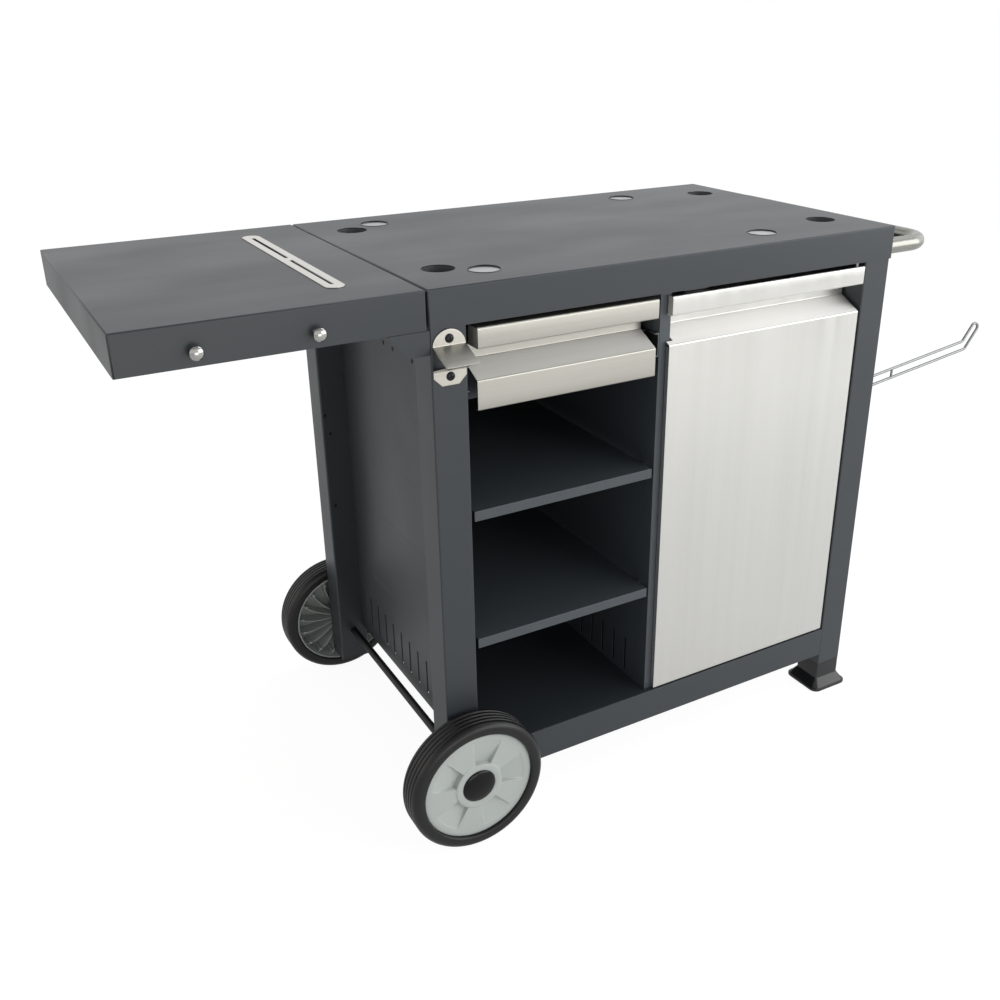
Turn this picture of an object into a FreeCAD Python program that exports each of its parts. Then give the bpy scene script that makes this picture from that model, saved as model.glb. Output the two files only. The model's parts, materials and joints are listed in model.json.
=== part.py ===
import FreeCAD, Part
import Sketcher
import os
import re

# Grill prep cart. Millimetres, Z up, the doors face -Y, the folding side shelf is at -X.
# Inside this file x runs from the left edge of the worktop, y from its front edge, z from the floor.
SIZES = {
    # Worktop and frame
    "top_length": 785,
    "top_depth": 500,
    "top_height": 825,
    "skirt_height": 50,
    "gauge": 1.5,
    "bend_radius": 2.5,
    "skirt_proud": 2,
    "leg_width": 50,
    "leg_corner": 2.5,
    "foot_height": 51,
    "panel_margin": 7,
    "panel_drop": 40,
    "panel_bottom": 109,
    "run_gap": 0.5,
    "pin_play": 0.05,
    "overcut": 5,
    # Round holes of the worktop, with cups and plugs hung under the sheet
    "hole_radius": 22.5,
    "cup_inset_x": 61,
    "cup_inset_y": 98,
    "cup_bore_radius": 22,
    "cup_wall": 1.5,
    "cup_flange": 5,
    "cup_depth": 22,
    "disc_left": 111,
    "disc_right": 576,
    "disc_inset_y": 65,
    "disc_lap": 3,
    "disc_gauge": 1.2,
    # Folding side shelf
    "shelf_length": 366,
    "shelf_seam": 2,
    "hinge_inset": 26,
    "hinge_drop": 9,
    "lug_radius": 13,
    "hinge_pin_radius": 4,
    "pin_head_lip": 3,
    "pin_head_height": 2,
    "bracket_gauge": 2.5,
    "bracket_wing": 36,
    "bracket_drop": 23.5,
    "bracket_reach": 54,
    "bracket_foot": 29,
    "bracket_corner": 5.5,
    "bracket_clearance": 1,
    "bracket_screw_inset": 8,
    "bracket_screw_drop": 4,
    "bracket_screw_radius": 5,
    "plate_width": 26,
    "plate_end_inset": 64,
    "plate_gauge": 1.2,
    "plate_inset": 75,
    "plate_slot_width": 5,
    "plate_slot_bridge": 14,
    "plate_slot_margin": 19,
    "knob_first": 140,
    "knob_pitch": 140,
    "knob_drop": 32,
    "knob_radius": 7.25,
    "knob_neck_radius": 3.5,
    "knob_neck": 12,
    "knob_head": 4,
    "knob_crown": 2,
    # Cabinet
    "stile_left": 355.5,
    "stile_width": 18.5,
    "stile_recess": 9,
    "stile_depth": 18,
    "rail_height": 53,
    "rail_top": 123.4,
    "rail_flange": 20,
    "top_flange": 36,
    "head_rise": 2,
    "bay_upper": 514,
    "bay_lower": 314,
    "bay_lip": 15,
    "bay_recess": 5,
    "bay_side_gap": 6,
    "peg_radius": 3,
    "peg_grip": 8,
    "peg_inset": 14,
    "back_inset": 10,
    "vent_width": 5,
    "vent_height": 61,
    "vent_margin": 16.5,
    "vent_bottom": 130,
    # Folded pulls of drawer and door
    "front_gap": 5.5,
    "skin_gauge": 1.2,
    "strip_height": 28,
    "strip_depth": 28,
    "trough_depth": 42,
    "trough_wall": 23,
    "trough_drop": 19.5,
    "face_step": 4,
    "return_depth": 8,
    # Drawer
    "slide_gap": 12.75,
    "drawer_face": 41,
    "drawer_proud": 5,
    "box_back_gap": 62.8,
    "box_height": 75,
    "box_gauge": 1,
    "box_lift": 4,
    "runner_height": 34,
    "runner_depth": 6.5,
    "runner_gauge": 1.2,
    "runner_back_gap": 18,
    "runner_start": 12,
    # Door
    "door_lap": 7,
    "door_side_gap": 5,
    "door_floor_gap": 2.6,
    "door_pivot_inset": 9,
    "door_pivot_depth": 5,
    "door_pin_radius": 3,
    "door_pin_grip": 2,
    "door_notch_gap": 1.5,
    "door_notch_side": 4,
    "pan_top_gap": 3,
    "magnet_inset": 22,
    "magnet_length": 40,
    "magnet_depth": 16,
    # Bottle opener
    "opener_width": 46,
    "opener_gauge": 2,
    "opener_top_gap": 1.6,
    "opener_nose": 39.5,
    "opener_nose_drop": 16,
    "opener_nose_back": 16,
    "opener_fold": 4,
    "opener_screw_inset": 12,
    "opener_screw_room": 3,
    "opener_tail_room": 2,
    "opener_window": 26,
    "opener_window_lip": 6,
    "opener_window_sill": 2.5,
    "opener_clip": 11,
    "screw_head_radius": 6,
    "screw_head_height": 3,
    # Push handle
    "handle_radius": 12.5,
    "handle_standoff": 94,
    "handle_turn_radius": 40,
    "handle_inset": 17,
    "handle_drop": 35,
    "flange_lip": 2,
    "flange_gauge": 2,
    # Paper towel holder
    "wire_radius": 2.5,
    "cross_wire_radius": 2,
    "wire_pitch": 16,
    "wire_depth": 70,
    "wire_root": 522,
    "wire_rise": 44,
    "wire_reach": 338,
    "wire_tip_out": 24,
    "wire_tip_up": 32,
    "wire_cross": 158,
    "towel_plate_width": 26,
    "towel_plate_height": 70,
    "towel_plate_gauge": 2,
    "towel_screw_inset": 11,
    # Feet and leg plugs
    "foot_base": 77,
    "foot_lip": 5,
    "foot_lip_step": 2.5,
    "foot_flare": 15,
    "foot_corner": 13,
    "foot_plug": 25,
    "plug_depth": 12,
    "plug_lip": 3,
    # Wheels and axle
    "tyre_radius": 105,
    "tyre_wall": 19,
    "tyre_width": 47,
    "tyre_shoulder": 5,
    "groove_depth": 2.2,
    "groove_width": 2.4,
    "hub_inset": 5,
    "hub_rim": 6,
    "hub_lip": 4,
    "hub_web": 4.5,
    "hub_dish": 5.5,
    "hub_boss_radius": 16,
    "hub_ring_radius": 39,
    "hub_ring_rise": 1,
    "hub_rib": 2,
    "hub_rib_height": 18,
    "hub_rib_sweep": 22,
    "hub_pad_angle": 34,
    "hub_pad_turn": -23.5,
    "hub_pocket_radius": 74,
    "hub_pocket_step": 1,
    "cap_radius": 26,
    "cap_seat": 5,
    "cap_play": 0.2,
    "cap_dome": 6,
    "axle_radius": 6,
    "axle_end": 6,
    "washer_radius": 14,
    "wheel_gap": 4,
}

# Places that follow from the sizes
PLACES = {
    "leg_in": "skirt_proud + leg_width",
    "leg_in_right": "top_length - skirt_proud - leg_width",
    "leg_in_rear": "top_depth - skirt_proud - leg_width",
    "skirt_bottom": "top_height - skirt_height",
    "top_under": "top_height - gauge",
    "panel_x": "leg_in - panel_margin",
    "panel_top": "top_height - panel_drop",
    "rail_z": "rail_top - rail_height",
    "head_z": "skirt_bottom + head_rise",
    "stile_right": "stile_left + stile_width",
    "stile_y": "skirt_proud + stile_recess",
    "back_y": "top_depth - skirt_proud - back_inset",
    "vent_pitch": "(leg_in_rear - leg_in - 2 * vent_margin) / 11",
    "peg_length": "bay_side_gap + peg_grip",
    "front_top": "skirt_bottom - front_gap",
    "face_top": "front_top - strip_height - trough_wall - trough_drop",
    "trough_run": "trough_depth - face_step",
    "trough_slope": "sqrt(trough_run * trough_run + trough_drop * trough_drop)",
    "fold_lap": "skin_gauge * (trough_slope - trough_drop) / trough_run",
    "drawer_left": "leg_in + slide_gap",
    "drawer_width": "stile_left - leg_in - 2 * slide_gap",
    "drawer_y": "skirt_proud - drawer_proud",
    "drawer_bottom": "face_top - drawer_face",
    "box_y": "drawer_y + trough_depth + skin_gauge",
    "box_z": "drawer_bottom + box_lift",
    "box_depth": "back_y - box_y - box_back_gap",
    "runner_z": "box_z + (box_height - runner_height) / 2",
    "runner_length": "back_y - runner_start - runner_back_gap",
    "runner_nest": "slide_gap - runner_gauge - run_gap",
    "runner_low": "runner_gauge + run_gap",
    "runner_high": "runner_height - runner_gauge - run_gap",
    "door_left": "stile_right - door_lap",
    "door_right": "leg_in_right - door_side_gap",
    "door_width": "door_right - door_left",
    "door_y": "skirt_proud - face_step",
    "door_bottom": "rail_top + door_floor_gap",
    "door_face": "face_top - door_bottom",
    "pan_height": "door_face - skin_gauge - pan_top_gap",
    "pan_depth": "return_depth - skin_gauge",
    "pivot_x": "door_right - door_pivot_inset",
    "pivot_y": "skirt_proud + door_pivot_depth",
    "hinge_x": "0 - hinge_inset",
    "hinge_z": "skirt_bottom - hinge_drop",
    "bracket_height": "bracket_drop + hinge_drop - bracket_clearance",
    "hinge_stack": "gauge + 2 * run_gap",
    "plate_x": "0 - plate_inset - plate_width",
    "plate_length": "top_depth - 2 * plate_end_inset",
    "plate_slot_reach": "(plate_length - plate_slot_bridge) / 2 - plate_slot_margin",
    "plate_slot_length": "plate_slot_reach - plate_slot_width",
    "plate_slot_pitch": "plate_slot_reach + plate_slot_bridge",
    "opener_x": "skirt_proud + (leg_width - opener_width) / 2",
    "opener_top": "skirt_bottom - opener_top_gap",
    "opener_tail": "opener_screw_inset + screw_head_radius + opener_tail_room",
    "opener_tip_z": "opener_tail + opener_nose_back",
    "opener_nose_z": "opener_tip_z + opener_nose_drop",
    "opener_height": "opener_nose_z + opener_screw_inset + screw_head_radius + opener_screw_room",
    "opener_z": "opener_top - opener_height",
    "handle_z": "top_height - handle_drop",
    "handle_x": "top_length + handle_standoff",
    "handle_far": "top_depth - handle_inset",
    "towel_x": "top_length - panel_x",
    "towel_plate_z": "wire_root + wire_pitch / 2 - towel_plate_height / 2",
    "wire_x_end": "towel_x + towel_plate_gauge + wire_reach + wire_tip_out",
    "wire_tip": "sqrt(wire_tip_out * wire_tip_out + wire_tip_up * wire_tip_up)",
    "wire_x_max": "wire_x_end + wire_pitch / 2 * (1 - wire_tip_up / wire_tip) + wire_radius",
    "foot_sleeve": "foot_height - foot_lip - foot_flare",
    "plug_width": "leg_width - 2 * gauge",
    "axle_x": "skirt_proud + leg_width / 2",
    "wheel_front": "skirt_proud - wheel_gap",
    "wheel_rear": "top_depth - skirt_proud + wheel_gap",
    "hub_radius": "tyre_radius - tyre_wall",
    "hub_room": "hub_radius - hub_rim",
    "hub_face": "tyre_width - hub_inset",
    "hub_back": "hub_face - hub_dish - hub_web",
    "cap_seat_y": "hub_face - cap_seat",
    "x_shift": "(shelf_length + shelf_seam - wire_x_max) / 2",
    "y_shift": "0 - top_depth / 2",
}

doc = FreeCAD.newDocument("GrillPrepCart")
sheet = doc.addObject("Spreadsheet::Sheet", "Sizes")
V = FreeCAD.Vector
UP = FreeCAD.Rotation()
ALONG_X = FreeCAD.Rotation(V(0, 1, 0), 90)
ALONG_Y = FreeCAD.Rotation(V(1, 0, 0), -90)
HALF_TURN = FreeCAD.Rotation(V(0, 0, 1), 180)
VENTS = 12
HUB_PADS = 5
HUB_RIBS = 24
GROOVES = 4
word = re.compile(r"[a-z_][a-z_0-9]*")

for number, (name, value) in enumerate(list(SIZES.items()) + list(PLACES.items()), 1):
    cell = "B%d" % number
    sheet.set("A%d" % number, name)
    sheet.set(cell, str(value) if name in SIZES else "=" + value)
    sheet.setAlias(cell, name)
doc.recompute()


def in_sheet(match):
    name = match.group(0)
    return "Sizes." + name if name in SIZES or name in PLACES else name


def ex(text):
    return word.sub(in_sheet, str(text))


def val(text):
    return float(sheet.evalExpression(ex(text)))


def bind(obj, **values):
    for key, text in values.items():
        obj.setExpression(key, ex(text))


def place(obj, x, y, z, turn=UP):
    obj.Placement = FreeCAD.Placement(V(0, 0, 0), turn)
    obj.setExpression("Placement.Base.x", ex("x_shift + (%s)" % x))
    obj.setExpression("Placement.Base.y", ex("y_shift + (%s)" % y))
    obj.setExpression("Placement.Base.z", ex(z))
    return obj


def box(name, x, y, z, dx, dy, dz):
    obj = doc.addObject("Part::Box", name)
    bind(obj, Length=dx, Width=dy, Height=dz)
    return place(obj, x, y, z)


def rod(name, x, y, z, turn, radius, length):
    obj = doc.addObject("Part::Cylinder", name)
    bind(obj, Radius=radius, Height=length)
    return place(obj, x, y, z, turn)


def group(name, items):
    obj = doc.addObject("Part::Compound", name)
    obj.Links = items
    return obj


def fuse(name, items):
    obj = doc.addObject("Part::MultiFuse", name)
    obj.Shapes = items
    obj.Refine = True
    return obj


def cut(name, base, tools):
    obj = doc.addObject("Part::Cut", name)
    obj.Base = base
    obj.Tool = group(name + "_tools", tools) if len(tools) > 1 else tools[0]
    obj.Refine = True
    return obj


def new_body(name):
    return doc.addObject("PartDesign::Body", name)


def origin(body, role):
    return [f for f in body.Origin.OriginFeatures if f.Role == role][0]


def sketch(body, role, lift="0"):
    obj = body.newObject("Sketcher::SketchObject", body.Name + "_outline")
    obj.AttachmentSupport = [(origin(body, role), "")]
    obj.MapMode = "FlatFace"
    obj.setExpression("AttachmentOffset.Base.z", ex(lift))
    return obj


def poly(obj, points):
    first = obj.GeometryCount
    count = len(points)
    spots = [V(val(a), val(b), 0) for a, b in points]
    for i in range(count):
        obj.addGeometry(Part.LineSegment(spots[i], spots[(i + 1) % count]), False)
    for i in range(count):
        obj.addConstraint(Sketcher.Constraint("Coincident", first + i, 2, first + (i + 1) % count, 1))
    for i in range(count):
        for kind, text, value in zip(("DistanceX", "DistanceY"), points[i], (spots[i].x, spots[i].y)):
            index = obj.addConstraint(Sketcher.Constraint(kind, -1, 1, first + i, 1, value))
            obj.setExpression("Constraints[%d]" % index, ex(text))


def rect(obj, x, y, dx, dy):
    right = "%s + %s" % (x, dx)
    back = "%s + %s" % (y, dy)
    poly(obj, [(x, y), (right, y), (right, back), (x, back)])


def pad(body, outline, length, flip=False):
    obj = body.newObject("PartDesign::Pad", body.Name + "_pad")
    obj.Profile = outline
    obj.setExpression("Length", ex(length))
    obj.Reversed = flip
    outline.Visibility = False
    return obj


def round_edges(body, base, radius, chosen):
    doc.recompute()
    picked = ["Edge%d" % (i + 1) for i, edge in enumerate(base.Shape.Edges) if chosen(edge)]
    obj = body.newObject("PartDesign::Fillet", body.Name + "_rounding")
    obj.Base = (base, picked)
    obj.setExpression("Radius", ex(radius))
    return obj


def folded(name, role, points, length, x, y, z, flip=False, turn=UP):
    body = new_body(name)
    outline = sketch(body, role)
    poly(outline, points)
    pad(body, outline, length, flip)
    return place(body, x, y, z, turn)


def spun(name, points, x, y, z, turn=UP):
    body = new_body(name)
    outline = sketch(body, "YZ_Plane")
    poly(outline, points)
    obj = body.newObject("PartDesign::Revolution", name + "_turned")
    obj.Profile = outline
    obj.ReferenceAxis = (outline, ["H_Axis"])
    obj.Angle = 360
    return place(body, x, y, z, turn)


# Sheet tray with rounded upper edges, open below
def tray(name, x, length):
    body = new_body(name)
    outline = sketch(body, "XY_Plane")
    rect(outline, "0", "0", length, "top_depth")
    block = pad(body, outline, "skirt_height")
    level = val("skirt_height") - val("gauge") / 2
    round_edges(body, block, "bend_radius", lambda edge: edge.BoundBox.ZMin > level)
    inner = sketch(body, "XY_Plane")
    rect(inner, "gauge", "gauge", "%s - 2 * gauge" % length, "top_depth - 2 * gauge")
    hollow = body.newObject("PartDesign::Pocket", name + "_hollow")
    hollow.Profile = inner
    hollow.setExpression("Length", ex("skirt_height - gauge"))
    hollow.Reversed = True
    return place(body, x, "0", "skirt_bottom")


ready = {}


def keep(obj, label):
    obj.Label = label
    ready[label] = obj


# Worktop: four holes over cups that locate a grill's feet, four holes closed by discs from below
through = "gauge + 2 * overcut"
drills = []
cups = []
for x in ("cup_inset_x", "top_length - cup_inset_x"):
    for y in ("cup_inset_y", "top_depth - cup_inset_y"):
        mark = len(cups)
        drills.append(rod("cup_hole%d" % mark, x, y, "top_under - overcut", UP, "hole_radius", through))
        rim = rod("cup_rim%d" % mark, x, y, "top_under - gauge", UP,
                  "cup_bore_radius + cup_wall + cup_flange", "gauge")
        well = rod("cup_well%d" % mark, x, y, "top_under - cup_depth - cup_wall", UP,
                   "cup_bore_radius + cup_wall", "cup_depth + cup_wall")
        room = rod("cup_room%d" % mark, x, y, "top_under - cup_depth", UP, "cup_bore_radius",
                   "cup_depth + overcut")
        cups.append(cut("cup%d" % mark, fuse("cup_form%d" % mark, [rim, well]), [room]))
discs = []
for x in ("disc_left", "disc_right"):
    for y in ("disc_inset_y", "top_depth - disc_inset_y"):
        mark = len(discs)
        drills.append(rod("disc_hole%d" % mark, x, y, "top_under - overcut", UP, "hole_radius", through))
        discs.append(rod("disc%d" % mark, x, y, "top_under - disc_gauge", UP, "hole_radius + disc_lap",
                         "disc_gauge"))
keep(cut("worktop", tray("worktop_tray", "0", "top_length"), drills), "worktop")
keep(group("foot_cups", cups), "foot_cups")
keep(group("blanking_discs", discs), "blanking_discs")

# Folding side shelf: tray with lugs inside it, brackets on the legs, pins and screws
lugs = []
lug_holes = []
brackets = []
pins = []
screws = []
gusset = [("0 - bracket_reach", "bracket_height"), ("0 - bracket_foot - bracket_corner", "bracket_corner"),
          ("0 - bracket_foot", "0"), ("skirt_proud", "0"), ("skirt_proud", "bracket_height")]
half_gauge = "bracket_gauge / 2"
for end in ("front", "rear"):
    front = end == "front"
    flange = "gauge + run_gap" if front else "top_depth - gauge - run_gap - bracket_gauge"
    wing_y = "gauge + run_gap" if front else "top_depth - gauge - run_gap - bracket_wing"
    lug_y = flange + (" + bracket_gauge + run_gap" if front else " - run_gap - gauge")
    lugs.append(box("lug_plate_" + end, "hinge_x - lug_radius", lug_y, "hinge_z", "2 * lug_radius", "gauge",
                    "top_under + gauge / 2 - hinge_z"))
    lugs.append(rod("lug_lobe_" + end, "hinge_x", lug_y, "hinge_z", ALONG_Y, "lug_radius", "gauge"))
    lug_holes.append(rod("lug_hole_" + end, "hinge_x", lug_y + " - overcut", "hinge_z", ALONG_Y,
                         "hinge_pin_radius + pin_play", through))
    arm = folded("bracket_arm_" + end, "XZ_Plane", gusset, "bracket_gauge", "0", flange,
                 "hinge_z - bracket_drop", True)
    wing = box("bracket_wing_" + end, "skirt_proud - bracket_gauge", wing_y, "hinge_z - bracket_drop",
               "bracket_gauge", "bracket_wing", "bracket_height")
    eye_y = flange + (" + bracket_gauge / 2" if front else " - overcut")
    eye = rod("bracket_eye_" + end, "hinge_x", eye_y, "hinge_z", ALONG_Y, "hinge_pin_radius",
              half_gauge + " + overcut")
    brackets.append(cut("bracket_" + end, fuse("bracket_form_" + end, [arm, wing]), [eye]))
    shank_y = flange + (" + bracket_gauge / 2" if front else " - hinge_stack")
    head_y = flange + (" + bracket_gauge + hinge_stack" if front else " - hinge_stack - pin_head_height")
    shank = rod("pin_shank_" + end, "hinge_x", shank_y, "hinge_z", ALONG_Y, "hinge_pin_radius",
                half_gauge + " + hinge_stack")
    head = rod("pin_head_" + end, "hinge_x", head_y, "hinge_z", ALONG_Y, "hinge_pin_radius + pin_head_lip",
               "pin_head_height")
    pins.append(fuse("pin_" + end, [shank, head]))
    far = "bracket_wing - bracket_screw_inset"
    near = "bracket_gauge + bracket_screw_inset + bracket_screw_radius / 2"
    for spot in ((near, far) if front else ("bracket_screw_inset", "bracket_wing - (%s)" % near)):
        screws.append(rod("bracket_screw_%s%d" % (end, len(screws)),
                          "skirt_proud - bracket_gauge - screw_head_height", "%s + %s" % (wing_y, spot),
                          "hinge_z - bracket_screw_drop", ALONG_X, "bracket_screw_radius",
                          "screw_head_height"))
slots = []
slot_x = "plate_x + plate_width / 2"
for side in ("-", "+"):
    middle = "top_depth / 2 %s plate_slot_pitch / 2" % side
    slots.append(box("slot_run" + str(len(slots)), slot_x + " - plate_slot_width / 2",
                     middle + " - plate_slot_length / 2", "top_height - overcut", "plate_slot_width",
                     "plate_slot_length", "2 * overcut"))
    for tip in ("-", "+"):
        slots.append(rod("slot_end" + str(len(slots)), slot_x,
                         "%s %s plate_slot_length / 2" % (middle, tip),
                         "top_height - overcut", UP, "plate_slot_width / 2", "2 * overcut"))
slot_form = fuse("slot_form", slots)
shelf_tray = tray("side_shelf_tray", "0 - shelf_seam - shelf_length", "shelf_length")
keep(cut("side_shelf", fuse("side_shelf_form", [shelf_tray] + lugs), lug_holes + [slot_form]), "side_shelf")
keep(group("shelf_brackets", brackets), "shelf_brackets")
keep(group("hinge_pins", pins), "hinge_pins")
keep(group("bracket_screws", screws), "bracket_screws")

# Slotted plate on the shelf and two hook knobs on its front skirt
bar = [box("plate_bar", "plate_x", "plate_end_inset + plate_width / 2", "top_height", "plate_width",
           "plate_length - plate_width", "plate_gauge")]
for y in ("plate_end_inset + plate_width / 2", "top_depth - plate_end_inset - plate_width / 2"):
    bar.append(rod("plate_end%d" % len(bar), slot_x, y, "top_height", UP, "plate_width / 2", "plate_gauge"))
keep(cut("slotted_plate", fuse("plate_form", bar), [slot_form]), "slotted_plate")
knobs = []
knob_z = "top_height - knob_drop"
for i in range(2):
    x = "0 - knob_first - %d * knob_pitch" % i
    neck = rod("knob_neck%d" % i, x, "0 - knob_neck", knob_z, ALONG_Y, "knob_neck_radius", "knob_neck")
    head = rod("knob_head%d" % i, x, "0 - knob_neck - knob_head", knob_z, ALONG_Y, "knob_radius",
               "knob_head")
    crown = rod("knob_crown%d" % i, x, "0 - knob_neck - knob_head - knob_crown", knob_z, ALONG_Y,
                "knob_radius - knob_crown", "knob_crown")
    knobs.append(fuse("knob%d" % i, [neck, head, crown]))
keep(group("hook_knobs", knobs), "hook_knobs")

# Square tube legs; the left pair carries the axle
axle_drill = rod("axle_drill", "axle_x", "0 - tyre_width", "tyre_radius", ALONG_Y, "axle_radius",
                 "top_depth + 2 * tyre_width")
for end, y in (("front", "skirt_proud"), ("rear", "leg_in_rear")):
    for side, x in (("left", "skirt_proud"), ("right", "leg_in_right")):
        label = "leg_%s_%s" % (end, side)
        body = new_body(label + "_tube")
        outline = sketch(body, "XY_Plane")
        rect(outline, "0", "0", "leg_width", "leg_width")
        bar = pad(body, outline, "top_under - foot_height")
        round_edges(body, bar, "leg_corner", lambda edge: edge.BoundBox.ZLength > 1)
        inner = sketch(body, "XY_Plane")
        rect(inner, "gauge", "gauge", "plug_width", "plug_width")
        hollow = body.newObject("PartDesign::Pocket", label + "_hollow")
        hollow.Profile = inner
        hollow.Type = "ThroughAll"
        hollow.Reversed = True
        place(body, x, y, "foot_height")
        keep(cut(label, body, [axle_drill]) if side == "left" else body, label)

# Cabinet sheets with rows of vent slots
span = "leg_in_rear - leg_in"
panel_height = "panel_top - panel_bottom"
cabinet_height = "head_z - rail_top"
walls = (("left_panel", "panel_x", "leg_in", "panel_bottom", span, panel_height),
         ("right_panel", "top_length - panel_x - gauge", "leg_in", "panel_bottom", span, panel_height),
         ("divider", "stile_left", "stile_y + stile_depth", "rail_top", "back_y - stile_y - stile_depth",
          cabinet_height))
for label, x, y, z, dy, dz in walls:
    vents = []
    for i in range(VENTS):
        middle = "top_depth / 2 + %.1f * vent_pitch" % (i - (VENTS - 1) / 2)
        vents.append(box("%s_vent%d" % (label, i), x + " - overcut", middle + " - vent_width / 2",
                         "vent_bottom",
                         through, "vent_width", "vent_height"))
    keep(cut(label, box(label + "_sheet", x, y, z, "gauge", dy, dz), vents), label)
inner_span = "leg_in_right - leg_in"
keep(box("back_panel", "leg_in", "back_y", "rail_top", inner_span, "gauge", cabinet_height), "back_panel")
pivot_low = rod("pivot_low", "pivot_x", "pivot_y", "rail_top - rail_height / 2", UP,
                "door_pin_radius + pin_play",
                "rail_height")
pivot_high = rod("pivot_high", "pivot_x", "pivot_y", "head_z - overcut", UP, "door_pin_radius + pin_play",
                 through)
floor = box("bottom_sheet", "leg_in", "skirt_proud + gauge", "rail_top - gauge", inner_span,
            "top_depth - 2 * skirt_proud - 2 * gauge", "gauge")
keep(cut("bottom_panel", floor, [pivot_low]), "bottom_panel")
stile = [("0", "0"), ("stile_width", "0"), ("stile_width", "stile_depth"),
         ("stile_width - gauge", "stile_depth"),
         ("stile_width - gauge", "gauge"), ("gauge", "gauge"), ("gauge", "stile_depth"),
         ("0", "stile_depth")]
keep(folded("centre_stile", "XY_Plane", stile, cabinet_height, "stile_left", "stile_y", "rail_top"),
     "centre_stile")

# Folded rails between the legs, the rear ones turned about
low = [("0", "0"), ("rail_flange", "0"), ("rail_flange", "gauge"), ("gauge", "gauge"),
       ("gauge", "rail_height - 2 * gauge"), ("rail_flange", "rail_height - 2 * gauge"),
       ("rail_flange", "rail_height - gauge"), ("gauge", "rail_height - gauge"), ("gauge", "rail_height"),
       ("0", "rail_height")]
head = "top_under - head_z"
high = [("0", "0"), ("top_flange", "0"), ("top_flange", "gauge"), ("gauge", "gauge"),
        ("gauge", head + " - gauge"),
        ("rail_flange", head + " - gauge"), ("rail_flange", head), ("0", head)]
for kind, outline, z, drill in (("bottom", low, "rail_z", pivot_low), ("top", high, "head_z", pivot_high)):
    rail = folded(kind + "_rail", "YZ_Plane", outline, inner_span, "leg_in", "skirt_proud", z)
    keep(cut(kind + "_rail_front", rail, [drill]), kind + "_rail_front")
    keep(folded(kind + "_rail_rear", "YZ_Plane", outline, inner_span, "leg_in_right",
                "top_depth - skirt_proud", z,
                False, HALF_TURN), kind + "_rail_rear")

# Two bay shelves on pegs
bay_depth = "back_y - run_gap - skirt_proud - bay_recess"
lipped = [("0", "0"), ("gauge", "0"), ("gauge", "bay_lip - gauge"),
          (bay_depth + " - gauge", "bay_lip - gauge"),
          (bay_depth + " - gauge", "0"), (bay_depth, "0"), (bay_depth, "bay_lip"), ("0", "bay_lip")]
pegs = []
for label, level in (("shelf_upper", "bay_upper"), ("shelf_lower", "bay_lower")):
    keep(folded(label, "YZ_Plane", lipped, "stile_left - leg_in - 2 * bay_side_gap",
                "leg_in + bay_side_gap",
                "skirt_proud + bay_recess", level + " - bay_lip"), label)
    for x in ("leg_in", "stile_left - peg_length"):
        for y in ("leg_in - peg_inset", "leg_in_rear + peg_inset"):
            pegs.append(rod("peg%d" % len(pegs), x, y, level + " - gauge - peg_radius", ALONG_X,
                            "peg_radius",
                            "peg_length"))
keep(group("shelf_pegs", pegs), "shelf_pegs")


# Folded stainless front: top strip, open finger trough, sloping floor, flat face and bottom return
def pull_outline(face):
    wall = "0 - strip_height - trough_wall"
    low = wall + " - trough_drop"
    base = "%s - %s" % (low, face)
    back = "face_step + return_depth"
    outer = [("strip_depth", "0"), ("0", "0"), ("0", "0 - strip_height"),
             ("trough_depth", "0 - strip_height"),
             ("trough_depth", wall), ("face_step", low), ("face_step", base), (back, base)]
    inner = [(back, base + " + skin_gauge"), ("face_step + skin_gauge", base + " + skin_gauge"),
             ("face_step + skin_gauge", low + " - fold_lap"),
             ("trough_depth + skin_gauge", wall + " - fold_lap"),
             ("trough_depth + skin_gauge", "skin_gauge - strip_height"),
             ("skin_gauge", "skin_gauge - strip_height"),
             ("skin_gauge", "0 - skin_gauge"), ("strip_depth", "0 - skin_gauge")]
    return outer + inner


# Plates that close the two ends of a top strip
def strip_ends(name, left, width, front):
    ends = []
    for x in (left, "%s + %s - skin_gauge" % (left, width)):
        ends.append(box("%s_end%d" % (name, len(ends)), x, front, "front_top - strip_height", "skin_gauge",
                        "strip_depth", "strip_height"))
    return ends


# Drawer on nested runners
fold = folded("drawer_fold", "YZ_Plane", pull_outline("drawer_face"), "drawer_width", "drawer_left",
              "drawer_y", "front_top")
keep(fuse("drawer_front", [fold] + strip_ends("drawer", "drawer_left", "drawer_width", "drawer_y")),
     "drawer_front")
shell = box("box_shell", "drawer_left", "box_y", "box_z", "drawer_width", "box_depth", "box_height")
room = box("box_room", "drawer_left + box_gauge", "box_y + box_gauge", "box_z + box_gauge",
           "drawer_width - 2 * box_gauge", "box_depth - 2 * box_gauge", "box_height")
keep(cut("drawer_box", shell, [room]), "drawer_box")
outer = [("0", "0"), ("runner_depth", "0"), ("runner_depth", "runner_gauge"),
         ("runner_gauge", "runner_gauge"),
         ("runner_gauge", "runner_height - runner_gauge"), ("runner_depth", "runner_height - runner_gauge"),
         ("runner_depth", "runner_height"), ("0", "runner_height")]
inner = [("0", "runner_low"), ("0", "runner_high"), ("runner_nest", "runner_high"),
         ("runner_nest", "runner_high - runner_gauge"), ("runner_gauge", "runner_high - runner_gauge"),
         ("runner_gauge", "runner_low + runner_gauge"), ("runner_nest", "runner_low + runner_gauge"),
         ("runner_nest", "runner_low")]
fixed = []
for x, turn, y in (("leg_in", UP, "runner_start"), ("stile_left", HALF_TURN,
                                                    "runner_start + runner_length")):
    fixed.append(folded("runner_outer%d" % len(fixed), "XZ_Plane", outer, "runner_length", x, y, "runner_z",
                        True, turn))
moving = []
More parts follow.
